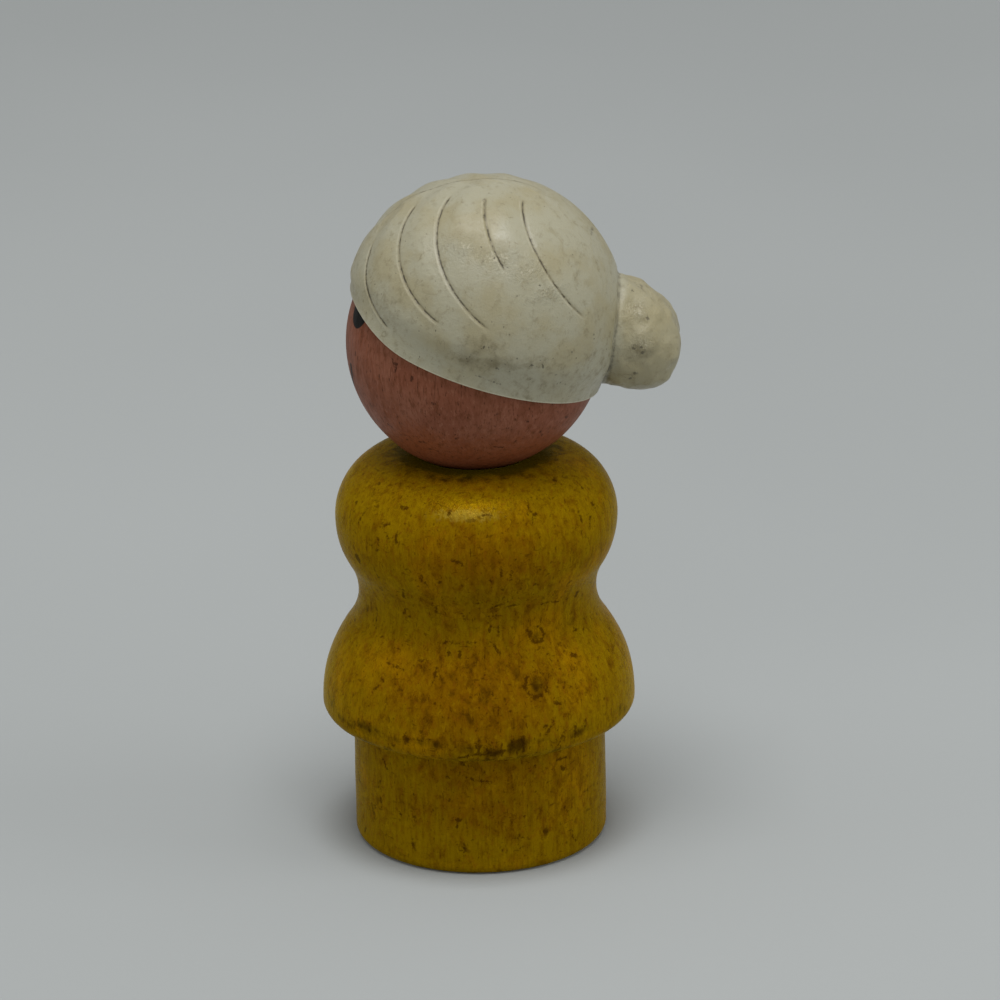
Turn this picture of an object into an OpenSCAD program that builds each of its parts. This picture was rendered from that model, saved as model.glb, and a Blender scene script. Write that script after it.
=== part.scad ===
// Turned wooden peg doll: a one-piece body, a ball head that turns on a neck dowel,
// and a moulded hair cap with a bun, held by a plug in the crown of the head.
// Millimetres. The origin is the centre of the underside, +Z is up and the doll faces -Y.

/* [Body] */
// Diameter of the plain peg that the body stands on
peg_d = 22.2; // [20:0.1:24]
// Height of the peg, up to the underside of the skirt
peg_h = 11.5; // [8:0.1:16]
// Rounding of the peg's bottom edge
peg_edge_r = 0.75; // [0.2:0.05:2]
// Largest diameter of the skirt
skirt_d = 27.5; // [25.5:0.1:32]
// Rounding of the skirt's lower edge
skirt_edge_r = 1.2; // [0.4:0.1:2]
// Radius of the skirt's flank, seen from the side
skirt_flank_r = 12; // [9:0.5:16]
// Smallest diameter of the waist
waist_d = 20.8; // [17:0.1:23]
// Radius of the hollow at the waist, seen from the side
waist_hollow_r = 5.1; // [3:0.1:8]
// Largest diameter of the shoulders
shoulder_d = 24.6; // [22:0.1:29]
// Radius of the chest, below the widest part of the shoulders
chest_r = 7.9; // [5:0.1:11]
// Radius of the shoulder, above its widest part
shoulder_r = 5.7; // [4:0.1:7]

/* [Head] */
// Diameter of the ball
head_d = 22.2; // [20:0.1:26]
// Depth of the dished seat in the body's top that the ball sits in
seat_depth = 1.2; // [0.6:0.1:2]

/* [Neck dowel] */
// Diameter of the wooden dowel that the head turns on
dowel_d = 6.4; // [4:0.1:8]
// How far the dowel reaches below the ball, into the body
dowel_in_body = 11; // [6:0.5:16]
// How far the dowel reaches above the ball's lowest point, into the head
dowel_in_head = 8; // [5:0.5:11]
// Chamfer at both ends of the dowel
dowel_chamfer = 0.6; // [0.2:0.1:1.2]

/* [Hair cap] */
// Difference between the cap's outer radius and the ball's radius
cap_wall = 1; // [0.8:0.1:2]
// How far the cap's outer sphere lies behind the ball's centre
cap_back = 1; // [0.5:0.1:1.5]
// How far the cap's outer sphere lies above the ball's centre
cap_rise = 2.35; // [1.5:0.05:2.8]
// How far the hairline's corner at the temple lies in front of the ball's centre
temple_forward = 7.2; // [5:0.1:8.5]
// How far that corner lies above the ball's centre
temple_rise = 1.9; // [1:0.1:4]
// Rounding of that corner, seen from the side
temple_r = 8; // [3:0.5:12]
// Slope of the hairline in front of the temple, over the face (degrees)
front_slope = 45; // [35:1:55]
// Slope of the hairline behind the temple, down to the nape (degrees)
nape_slope = 18.5; // [10:0.5:24]
// Diameter of the plug under the crown
plug_d = 6; // [4:0.1:9]
// How far the plug reaches into the head
plug_len = 5; // [3:0.1:8]

/* [Bun] */
// Diameter of the bun at its widest
bun_d = 9.8; // [7:0.1:12]
// Length of the bun's dome, from its widest ring to its tip
bun_len = 6.6; // [5:0.1:9]
// How far the centre of the widest ring lies inside the cap's outer sphere
bun_inset = 1.6; // [0.5:0.1:2.5]
// Slope of the line from the cap's centre to that ring, below the horizontal (degrees)
bun_fall = 7; // [0:1:15]
// Slope of the bun's own axis, below the horizontal (degrees)
bun_tilt = 27; // [15:1:35]
// Fullness of the dome: 2 is an ellipse, more is squarer
bun_fullness = 2.4; // [2:0.1:4]

/* [Incised hair lines] */
// Width of an incised line, and twice its depth
line_w = 0.44; // [0.3:0.02:0.6]
// Where the parting starts over the forehead (degrees above the horizontal)
parting_start = 42; // [35:1:60]
// How far the parting runs over the crown (degrees)
parting_sweep = 76; // [40:1:85]

/* [Fits] */
// Gap between the turning ball and its seat in the body
seat_gap = 0.1; // [0.05:0.01:0.3]
// Gap round the dowel where it turns in the body
turn_gap = 0.06; // [0.03:0.01:0.1]
// Gap round the dowel where it is glued into the head
glue_gap = 0.03; // [0.01:0.01:0.1]
// Gap between the cap with its plug and the head
cap_gap = 0.05; // [0.02:0.01:0.1]
// Room left past the end of the dowel and of the plug in their blind holes
end_gap = 0.4; // [0.2:0.1:1]

/* [Hidden] */
$fn = 96;
arc_steps = 10;

// One incised line per lock of hair on the doll's left side, mirrored on its right. Each is an arc of
// a circle drawn on the cap: where the circle's axis points (degrees round from +X, degrees up), the
// half angle of its cone, and where the arc starts and ends round that axis, from the lowest point.
LOCK_LINES = [
    [-15, 47, 45.5, -99, -43],
    [17.5, 50.5, 47, -136, -54],
    [41.5, 44.5, 47, -154, -61],
    [66, 40, 43.5, -156, -103],
    [75, 35, 36, -160, -58]
];

// Body, from the floor up: each arc of its outline touches the next one without a corner
peg_r = peg_d / 2;
skirt_c = [skirt_d / 2 - skirt_flank_r, peg_h + skirt_edge_r];
waist_x = waist_d / 2 + waist_hollow_r;
chest_x = shoulder_d / 2 - chest_r;
skirt_to_waist = skirt_flank_r + waist_hollow_r;
waist_to_chest = waist_hollow_r + chest_r;
skirt_turn = acos((waist_x - skirt_c[0]) / skirt_to_waist);
chest_turn = acos((waist_x - chest_x) / waist_to_chest);
waist_c = [waist_x, skirt_c[1] + skirt_to_waist * sin(skirt_turn)];
chest_c = [chest_x, waist_c[1] + waist_to_chest * sin(chest_turn)];
shoulder_c = [shoulder_d / 2 - shoulder_r, chest_c[1]];
body_top = shoulder_c[1] + shoulder_r;

// Head and dowel
head_r = head_d / 2;
head_bottom = body_top - seat_depth;
head_z = head_bottom + head_r;
dowel_r = dowel_d / 2;
dowel_bottom = head_bottom - dowel_in_body;
dowel_len = dowel_in_body + dowel_in_head;

// Hair cap
cap_r = head_r + cap_wall;
cap_d = 2 * cap_r;
cap_c = [0, cap_back, head_z + cap_rise];
plug_r = plug_d / 2;
plug_bottom = head_z + head_r - plug_len;
bun_r = bun_d / 2;
bun_c = cap_c + (cap_r - bun_inset) * [0, cos(bun_fall), -sin(bun_fall)];

// Points along an arc, from one angle to another; skip = 1 leaves out the first point
function arc(centre, r, from, to, skip = 0) = [
    for (i = [skip : arc_steps])
        let (a = from + (to - from) * i / arc_steps)
            centre + r * [cos(a), sin(a)]
];

// Half outline of the body, from the middle of its underside to the middle of its top
function body_outline() = concat(
    [[0, 0]],
    arc([peg_r - peg_edge_r, peg_edge_r], peg_edge_r, -90, 0),
    [[peg_r, peg_h]],
    arc([skirt_d / 2 - skirt_edge_r, skirt_c[1]], skirt_edge_r, -90, 0),
    arc(skirt_c, skirt_flank_r, 0, skirt_turn, 1),
    arc(waist_c, waist_hollow_r, 180 + skirt_turn, 180 - chest_turn, 1),
    arc(chest_c, chest_r, -chest_turn, 0, 1),
    arc(shoulder_c, shoulder_r, 0, 90, 1),
    [[0, body_top]]
);

// Half outline of the bun: a straight root that runs into the cap, then a full dome
function bun_outline() = concat(
    [[0, -bun_r], [bun_r, -bun_r]],
    [for (i = [0 : arc_steps - 1])
        let (a = 90 * i / arc_steps)
            [bun_r * pow(cos(a), 2 / bun_fullness), bun_len * pow(sin(a), 2 / bun_fullness)]],
    [[0, bun_len]]
);

// Side view of the space above the hairline, from the ball's centre: x is backwards and y is up.
// Two straight slopes meet in a round corner at the temple.
function above_hairline() =
    let (
        half_turn = (front_slope - nape_slope) / 2,
        lean = (front_slope + nape_slope) / 2,
        corner_c = [-temple_forward, temple_rise] + temple_r / cos(half_turn) * [sin(lean), cos(lean)],
        corner = arc(corner_c, temple_r, 270 - front_slope, 270 - nape_slope),
        front_end = corner[0] + cap_d * [-cos(front_slope), sin(front_slope)],
        nape_end = corner[arc_steps] + cap_d * [cos(nape_slope), -sin(nape_slope)]
    )
    concat([front_end], corner, [nape_end, [nape_end[0], cap_d], [front_end[0], cap_d]]);

module dowel_hole(gap) {
    translate([0, 0, dowel_bottom - end_gap])
        cylinder(r = dowel_r + gap, h = dowel_len + 2 * end_gap);
}

module body() {
    color("goldenrod")
        difference() {
            rotate_extrude()
                polygon(body_outline());
            translate([0, 0, head_z])
                sphere(r = head_r + seat_gap);
            dowel_hole(turn_gap);
        }
}

module neck_dowel() {
    color("burlywood")
        translate([0, 0, dowel_bottom])
            rotate_extrude()
                polygon([
                    [0, 0],
                    [dowel_r - dowel_chamfer, 0],
                    [dowel_r, dowel_chamfer],
                    [dowel_r, dowel_len - dowel_chamfer],
                    [dowel_r - dowel_chamfer, dowel_len],
                    [0, dowel_len]
                ]);
}

module head() {
    color("rosybrown")
        difference() {
            translate([0, 0, head_z])
                sphere(r = head_r);
            dowel_hole(glue_gap);
            translate([0, 0, plug_bottom - end_gap])
                cylinder(r = plug_r + cap_gap, h = plug_len + end_gap + cap_wall);
        }
}

// Solid dome of the cap, trimmed to the hairline
module cap_dome() {
    intersection() {
        translate(cap_c)
            sphere(r = cap_r);
        translate([0, 0, head_z])
            rotate([90, 0, 90])
                linear_extrude(height = cap_d, center = true)
                    polygon(above_hairline());
    }
}

module bun() {
    translate(bun_c)
        rotate([-90 - bun_tilt, 0, 0])
            rotate_extrude()
                polygon(bun_outline());
}

// One incised line, as the round bead that cuts it
module lock_line(line) {
    translate(cap_c)
        rotate([0, 90 - line[1], line[0]])
            translate([0, 0, cap_r * cos(line[2])])
                rotate_extrude(angle = line[4] - line[3], start = line[3])
                    translate([cap_r * sin(line[2]), 0])
                        circle(d = line_w);
}

// The parting over the crown, from the forehead back
module parting_line() {
    translate(cap_c)
        rotate([90, 0, -90])
            rotate_extrude(angle = parting_sweep, start = parting_start)
                translate([cap_r, 0])
                    circle(d = line_w);
}

module hair_cap() {
    color("ivory")
        union() {
            difference() {
                union() {
                    cap_dome();
                    bun();
                }
                translate([0, 0, head_z])
                    sphere(r = head_r + cap_gap);
                parting_line();
                for (side = [0, 1], line = LOCK_LINES)
                    mirror([side, 0, 0])
                        lock_line(line);
            }
            translate([0, 0, plug_bottom])
                cylinder(r = plug_r, h = plug_len + cap_wall);
        }
}

body();
neck_dowel();
head();
hair_cap();
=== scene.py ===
"""Looks of a turned wooden peg doll: a varnished body, a painted ball head and a moulded hair cap.

The classes hold their sizes in millimetres, and the meshes are in metres, in the frame of the solids:
the doll stands on z = 0 and faces -Y, and the camera sees its left side, +X.
"""

import logging
import math
from dataclasses import dataclass, field
from enum import Enum

import bpy
import numpy as np
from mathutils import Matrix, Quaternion, Vector


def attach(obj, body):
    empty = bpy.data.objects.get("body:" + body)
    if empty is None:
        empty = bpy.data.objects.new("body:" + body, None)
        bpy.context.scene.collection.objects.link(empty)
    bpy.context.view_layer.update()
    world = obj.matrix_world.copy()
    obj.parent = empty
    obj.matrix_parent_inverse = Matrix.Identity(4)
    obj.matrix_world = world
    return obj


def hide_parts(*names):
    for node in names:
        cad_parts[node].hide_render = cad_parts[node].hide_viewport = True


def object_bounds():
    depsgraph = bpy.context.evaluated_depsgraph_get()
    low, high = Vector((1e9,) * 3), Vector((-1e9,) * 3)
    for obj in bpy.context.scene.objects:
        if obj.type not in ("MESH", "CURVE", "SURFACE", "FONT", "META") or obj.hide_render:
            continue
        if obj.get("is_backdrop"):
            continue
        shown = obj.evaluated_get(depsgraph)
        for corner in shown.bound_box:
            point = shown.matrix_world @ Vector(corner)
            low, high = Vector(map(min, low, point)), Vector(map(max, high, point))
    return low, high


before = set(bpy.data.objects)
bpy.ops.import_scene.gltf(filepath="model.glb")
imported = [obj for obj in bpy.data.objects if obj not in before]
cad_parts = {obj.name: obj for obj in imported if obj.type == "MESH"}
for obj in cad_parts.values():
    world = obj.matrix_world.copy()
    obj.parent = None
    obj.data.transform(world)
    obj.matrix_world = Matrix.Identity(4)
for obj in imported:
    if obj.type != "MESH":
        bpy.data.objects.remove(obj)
cad_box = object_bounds()

MM = 0.001
# Distances in millimetres: the greatest from a mark that counts, and one too small to count
FAR = 3.0
TINY = 0.001
# A grain's middle value, and the span that nearly all its values lie in
GRAIN_MIDDLE = 0.5
GRAIN_SPAN = (0.3, 0.7)
Array = np.ndarray
Socket = bpy.types.NodeSocket
log = logging.getLogger("peg_doll")


class Rider(Enum):
    """The bodies of the frame that a piece can move with."""

    BODY = "body"
    HEAD = "head"


class Slot(Enum):
    """The record's material slots."""

    BODY = "body_paint"
    DOWEL = "dowel_wood"
    HEAD = "head_paint"
    HAIR = "hair_plastic"


# Shapes


def arc(centre: Array, radius: float, start: float, end: float, gap: float) -> Array:
    """Points on a circular arc: the centre plus the radius times (cos a, sin a).

    Args:
        centre: The circle's centre in the plane of the outline.
        radius: The circle's radius.
        start: The angle a of the first point, in degrees.
        end: The angle a of the last point, in degrees.
        gap: About how far apart the points are.

    Returns:
        An array of points, both ends included.
    """
    count = 2 + int(radius * math.radians(abs(end - start)) / gap)
    a = np.radians(np.linspace(start, end, count))
    return np.asarray(centre) + radius * np.stack([np.cos(a), np.sin(a)], axis=-1)


def line(start: tuple[float, float], end: tuple[float, float], gap: float) -> Array:
    """Points on a straight line of an outline, without its two ends.

    Args:
        start: Where the line starts.
        end: Where the line ends.
        gap: About how far apart the points are.

    Returns:
        An array of points, evenly spaced.
    """
    count = 3 + int(math.dist(start, end) / gap)
    return np.linspace(start, end, count)[1:-1]


def revolve(outline: Array, columns: int) -> Array:
    """A surface of revolution: each (r, z) becomes (r cos u, r sin u, z).

    Args:
        outline: Points (r, z), one per row.
        columns: How many steps the angle u takes round the axis.

    Returns:
        A grid of points, rows by columns.
    """
    u = np.linspace(0, 2 * np.pi, columns, endpoint=False)
    r, z = outline[:, :1], outline[:, 1:]
    return np.stack([r * np.cos(u), r * np.sin(u), np.broadcast_to(z, (len(r), columns))], axis=-1)


def smooth_step(value: Array, low: float, high: float) -> Array:
    """A soft step, t t (3 - 2 t), where t runs from 0 at low to 1 at high.

    Args:
        value: Where to evaluate it.
        low: Where the step starts.
        high: Where the step ends; it may be less than low.

    Returns:
        An array from 0 to 1.
    """
    t = np.clip((value - low) / (high - low), 0, 1)
    return t * t * (3 - 2 * t)


def bell(distance: Array, width: float) -> Array:
    """A bell curve, exp of minus the square of distance over width."""
    return np.exp(-np.square(distance / width))


def lumps(points: Array, size: float, seed: int, waves: int = 28) -> Array:
    """Smooth unevenness: the mean of plane waves in seeded random directions, from about -1 to 1.

    Args:
        points: Where to evaluate it, in millimetres.
        size: The wavelength in millimetres, each wave from 0.7 to 1.6 times it.
        seed: The seed of the directions and phases.
        waves: How many waves.

    Returns:
        An array with one value per point.
    """
    rng = np.random.default_rng(seed)
    direction = rng.normal(size=(3, waves))
    direction /= np.linalg.norm(direction, axis=0)
    number = 2 * np.pi / (size * rng.uniform(0.7, 1.6, waves))
    phase = rng.uniform(0, 2 * np.pi, waves)
    return np.cos(points @ (direction * number) + phase).sum(axis=-1) * math.sqrt(2 / waves) / 2


def unit(vectors: Array) -> Array:
    """The vectors, each divided by its length."""
    return vectors / np.linalg.norm(vectors, axis=-1, keepdims=True)


def on_ball(angle: Array | float, elevation: Array | float) -> Array:
    """Unit vectors at an angle round from +X towards +Y and an elevation, both in degrees."""
    a, e = np.radians(angle), np.radians(elevation)
    return np.stack([np.cos(e) * np.cos(a), np.cos(e) * np.sin(a), np.sin(e)], axis=-1)


def stroke_gap(points: Array, starts: Array, ends: Array, halves: Array) -> Array:
    """Distance from the edge of the nearest stroke, below zero inside it.

    A stroke is a straight line with round ends: the distance is that from the nearest point of the
    line, less half the stroke's width.

    Args:
        points: Where to measure it.
        starts: Where the strokes start.
        ends: Where they end.
        halves: Half of each stroke's width.

    Returns:
        An array with one distance per point.
    """
    nearest = np.full(points.shape[:-1], FAR)
    for start, end, half in zip(starts, ends, halves):
        along = end - start
        share = np.clip((points - start) @ along / max(along @ along, TINY), 0, 1)
        away = np.linalg.norm(points - start - share[..., None] * along, axis=-1)
        nearest = np.minimum(nearest, away - half)
    return nearest


def closed_piece(name: str, grid: Array, poles: Array, **layers: Array) -> bpy.types.Object:
    """A closed mesh from a grid of points that wraps round along its columns.

    Each point is joined to its right-hand and next-row neighbours by a four-sided face, and a fan of
    triangles closes the first and the last row on a pole. The faces are turned round if the volume
    that they enclose comes out negative.

    Args:
        name: The piece's name.
        grid: Points in millimetres, rows by columns.
        poles: The two points that close the first and the last row.
        layers: Named values, one per grid point, kept as attributes for the finish.

    Returns:
        The new object, in the scene.
    """
    rows, columns = grid.shape[:2]
    points = np.concatenate([grid.reshape(-1, 3), poles]) * MM
    index = np.arange(rows * columns).reshape(rows, columns)
    right = np.roll(index, -1, axis=1)
    quads = np.stack([index[:-1], right[:-1], right[1:], index[1:]], axis=-1).reshape(-1, 4)
    first, last = np.full(columns, rows * columns), np.full(columns, rows * columns + 1)
    fans = np.concatenate(
        [np.stack([first, right[0], index[0]], axis=-1), np.stack([last, index[-1], right[-1]], axis=-1)]
    )
    triangles = points[np.concatenate([quads[:, :3], quads[:, [0, 2, 3]], fans])]
    if np.einsum("ij,ij->", triangles[:, 0], np.cross(triangles[:, 1], triangles[:, 2])) < 0:
        quads, fans = quads[:, ::-1], fans[:, ::-1]
    mesh = bpy.data.meshes.new(name)
    mesh.from_pydata(points.tolist(), [], quads.tolist() + fans.tolist())
    mesh.shade_smooth()
    for layer, values in layers.items():
        ends = [values[0].mean(), values[-1].mean()]
        attribute = mesh.attributes.new(layer, "FLOAT", "POINT")
        attribute.data.foreach_set("value", np.append(values.ravel(), ends).astype(np.float32))
    piece = bpy.data.objects.new(name, mesh)
    bpy.context.scene.collection.objects.link(piece)
    return piece


# Materials


def rgba(code: str) -> tuple[float, float, float, float]:
    """Linear colour of an sRGB hex value.

    Args:
        code: Six hex digits after a #.

    Returns:
        Red, green, blue and an alpha of 1.
    """
    parts = [int(code[i : i + 2], 16) / 255 for i in (1, 3, 5)]
    return (*(p / 12.92 if p <= 0.04045 else ((p + 0.055) / 1.055) ** 2.4 for p in parts), 1.0)


@dataclass(frozen=True)
class Layer:
    """A colour laid over what lies below it, where a mask rises from low to high.

    Attributes:
        mask: The value that decides where the colour shows.
        low: The mask's value where the colour starts.
        high: The mask's value where it covers fully; less than low turns the mask round.
        cover: How much of what lies below a full cover hides.
        colour: The colour, as an sRGB hex value.
    """

    mask: Socket
    low: float
    high: float
    cover: float
    colour: str


class Finish:
    """A procedural material under construction."""

    def __init__(self, name: str) -> None:
        """Starts an empty material.

        Args:
            name: The material's name.
        """
        self.material = bpy.data.materials.new(name)
        self.material.use_nodes = True
        self.tree = self.material.node_tree
        self.tree.nodes.clear()
        self.place = self.add("TexCoord", output="Object")

    def add(
        self, kind: str, *values: Socket | float | tuple, output: str = "", **named: object
    ) -> Socket | None:
        """Adds one node with its settings, and sets or links its inputs.

        Args:
            kind: The node's type, without its ShaderNode prefix.
            values: What goes into its inputs, in their order: a constant, or an output to link from.
            output: The output to return, if it isn't the first.
            named: Settings, in small letters, and inputs by name, with capitals and _ for spaces.

        Returns:
            An output of the new node, if it has any.
        """
        node = self.tree.nodes.new(f"ShaderNode{kind}")
        for setting in (name for name in named if name.islower()):
            setattr(node, setting, named[setting])
        sockets = [socket for socket in node.inputs if socket.enabled]
        by_name = {socket.name: socket for socket in sockets}
        inputs = {name.replace("_", " "): value for name, value in named.items() if not name.islower()}
        pairs = list(zip(sockets, values)) + [(by_name[name], inputs[name]) for name in inputs]
        for socket, value in pairs:
            if isinstance(value, Socket):
                self.tree.links.new(value, socket)
            else:
                socket.default_value = value
        return node.outputs[output] if output else next((s for s in node.outputs if s.enabled), None)

    def layered(self, ground: str, *layers: Layer) -> Socket:
        """A ground colour with layers laid over it one after another.

        Args:
            ground: The lowest colour, as an sRGB hex value.
            layers: What lies over it, lowest first.

        Returns:
            The colour on top.
        """
        top = rgba(ground)
        for layer in layers:
            reach = (layer.low, layer.high, 0.0, layer.cover)
            share = self.add("MapRange", layer.mask, *reach, interpolation_type="SMOOTHSTEP")
            top = self.add("Mix", share, top, rgba(layer.colour), data_type="RGBA")
        return top

    def relief(self, *heights: tuple[Socket, float]) -> Socket:
        """A bumped normal from patterns, each times its height in millimetres.

        Args:
            heights: Pairs of a pattern and its height.

        Returns:
            The normal for the shader.
        """
        total = 0.0
        for pattern, height in heights:
            total = self.add("Math", pattern, height, total, operation="MULTIPLY_ADD")
        return self.add("Bump", Height=total, Distance=MM, Strength=1.0)

    def shade(self, **inputs: Socket | float | tuple) -> bpy.types.Material:
        """Joins the inputs to the shader, and the shader to the output.

        Args:
            inputs: The shader's inputs, linked or constant.

        Returns:
            The finished material.
        """
        self.add("OutputMaterial", self.add("BsdfPrincipled", **inputs))
        return self.material


@dataclass(frozen=True)
class Grain:
    """A soft random pattern, about 0.5 and rarely below 0.3 or above 0.7.

    Attributes:
        width: The width of its features in millimetres.
        stretch: How many times longer they are along Z, the way the wood's grain runs.
        octaves: How many finer patterns are laid over the first.
        crisp: How strong each of them is beside the one before.
        bend: How far the pattern is bent by itself.
    """

    width: float
    stretch: float = 1.0
    octaves: float = 2.0
    crisp: float = 0.5
    bend: float = 0.0

    def laid(self, m: Finish) -> Socket:
        """The pattern on a piece, in the piece's own coordinates.

        Args:
            m: The material that it is for.

        Returns:
            The pattern's value.
        """
        return m.add(
            "TexNoise",
            Vector=m.add("Mapping", Vector=m.place, Scale=(1, 1, 1 / self.stretch)),
            Scale=1 / (self.width * MM),
            Detail=self.octaves,
            Roughness=self.crisp,
            Distortion=self.bend,
        )


@dataclass(frozen=True)
class VarnishedMaple:
    """Turned hard maple under a worn coat of mustard stain and satin varnish.

    The coat is see-through, so the eye meets the wood's short upright pores and mottling through it,
    olive clouds where it lies thick, brown where hands have darkened it, with painted shade in the same
    brown on the front and at the seat, pale rubbed places on the shoulders that also paint a yellow
    highlight, dark scratches, grime where floors rub, with painted contact shade at the foot, and grime
    with painted shade round the neck and under the skirt. The varnish is yellow itself, and so is its
    gloss, also at the edges, where a clear coat would turn white: so it has a small share of metallic
    and a yellow sheen, and no clear coat.
    """

    stain: str = "#966e03"
    olive: str = "#846803"
    worn: str = "#a5810a"
    # Pale of rubbed places, also a painted highlight
    rubbed: str = "#ab9335"
    # Brown of handled places, also used as painted shade
    handled: str = "#7a4e02"
    rust: str = "#78430a"
    umber: str = "#5e3c01"
    pore: str = "#3d2102"
    # Grime, also used as painted shade
    grime: str = "#2e1c03"
    gloss: float = 0.1
    edge_gloss: tuple = (1.0, 0.85, 0.3, 1.0)
    sheen: tuple = (1.0, 0.8, 0.02, 1.0)
    clouds: Grain = Grain(5, octaves=3)
    patches: Grain = Grain(1.7, stretch=1.4, octaves=4, crisp=0.6)
    streaks: Grain = Grain(0.7, stretch=7, octaves=3)
    smudges: Grain = Grain(1.0, stretch=1.6, octaves=4, crisp=0.55, bend=0.4)
    mottle: Grain = Grain(0.34, stretch=1.6, octaves=4, crisp=0.65)
    flecks: Grain = Grain(0.45, stretch=1.8, octaves=3, crisp=0.6)
    grit: Grain = Grain(0.16)
    fibres: Grain = Grain(0.2, stretch=10, octaves=3)
    pores: Grain = Grain(0.28, stretch=3.6)
    dashes: Grain = Grain(0.9, stretch=0.3, bend=0.5)
    spots: Grain = Grain(0.5, octaves=2)
    crumbs: Grain = Grain(0.36, octaves=4, crisp=0.7)
    crackle: Grain = Grain(1.3, octaves=3, crisp=0.6, bend=1.0)
    roughness: tuple = (0.2, 0.32)
    # How far fine grain frays the edges of marks, of grime with painted shade, of handled places with
    # painted shade, and of rubbed places with painted highlight
    mark_fray: float = 0.9
    grime_fray: float = 2.2
    handled_and_shaded_fray: float = 1.6
    rubbed_and_highlight_fray: float = 2.0
    # Cracks: how far the crackle is from its middle at edge and core, and the smudges that hold them
    crack_edge: tuple = (0.016, 0.003)
    crack_place: tuple = (0.42, 0.56)

    def material(self) -> bpy.types.Material:
        """Lays the stain's shades over one another, then wear with painted highlight, marks, and grime with
        painted shade.

        Returns:
            The material.
        """
        m = Finish("varnished maple")
        patches, mottle, fibres = self.patches.laid(m), self.mottle.laid(m), self.fibres.laid(m)
        pores, crumbs, flecks = self.pores.laid(m), self.crumbs.laid(m), self.flecks.laid(m)
        mark, grime, hands_and_shade, rubs_and_highlights = (
            m.add("Attribute", output="Fac", attribute_name=name)
            for name in ("mark_mm", "grime", "handled", "rubbed")
        )
        smudges = self.smudges.laid(m)
        marks = m.add("Math", crumbs, self.mark_fray, mark, operation="MULTIPLY_ADD")
        soiled = m.add("Math", smudges, self.grime_fray, grime, operation="MULTIPLY_ADD")
        handled = m.add("Math", smudges, self.handled_and_shaded_fray, hands_and_shade, operation="MULTIPLY_ADD")
        rubbed = m.add("Math", mottle, self.rubbed_and_highlight_fray, rubs_and_highlights, operation="MULTIPLY_ADD")
        crackle = m.add("Math", self.crackle.laid(m), GRAIN_MIDDLE, operation="SUBTRACT")
        thin = m.add("MapRange", m.add("Math", crackle, operation="ABSOLUTE"), *self.crack_edge)
        cracks = m.add("Math", thin, m.add("MapRange", smudges, *self.crack_place), operation="MULTIPLY")
        colour = m.layered(
            self.stain,
            Layer(self.clouds.laid(m), 0.32, 0.52, 0.85, self.olive),
            Layer(patches, 0.45, 0.66, 0.45, self.olive),
            # Brown where hands have darkened the coat, and painted shade on the front and at the seat
            Layer(handled, 0.7, 1.75, 0.8, self.handled),
            Layer(self.streaks.laid(m), 0.48, 0.68, 0.28, self.umber),
            Layer(flecks, 0.46, 0.3, 0.25, self.worn),
            Layer(flecks, 0.54, 0.68, 0.35, self.rust),
            Layer(smudges, 0.53, 0.74, 0.45, self.umber),
            Layer(mottle, 0.52, 0.68, 0.5, self.umber),
            Layer(fibres, 0.5, 0.68, 0.28, self.umber),
            # Pale where the coat is rubbed, which also paints a yellow highlight on the shoulders' ridge
            Layer(rubbed, 1.3, 2.05, 0.45, self.rubbed),
            Layer(cracks, 0.1, 1.0, 0.4, self.pore),
            Layer(self.dashes.laid(m), 0.65, 0.73, 0.45, self.pore),
            Layer(pores, 0.64, 0.73, 0.5, self.pore),
            Layer(self.spots.laid(m), 0.66, 0.75, 0.55, self.pore),
            Layer(marks, 0.55, 0.36, 0.75, self.pore),
            # Grime, with painted shade round the neck, under the skirt and at the foot
            Layer(soiled, 1.45, 2.5, 0.85, self.grime),
        )
        grit = self.grit.laid(m)
        normal = m.relief((fibres, 0.008), (pores, -0.02), (mottle, 0.014), (grit, 0.02), (patches, 0.03))
        return m.shade(
            Base_Color=colour,
            Metallic=self.gloss,
            Roughness=m.add("MapRange", mottle, *GRAIN_SPAN, *self.roughness),
            Specular_IOR_Level=0.006,
            Specular_Tint=self.edge_gloss,
            Sheen_Weight=0.12,
            Sheen_Roughness=0.4,
            Sheen_Tint=self.sheen,
            Normal=normal,
        )


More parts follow.
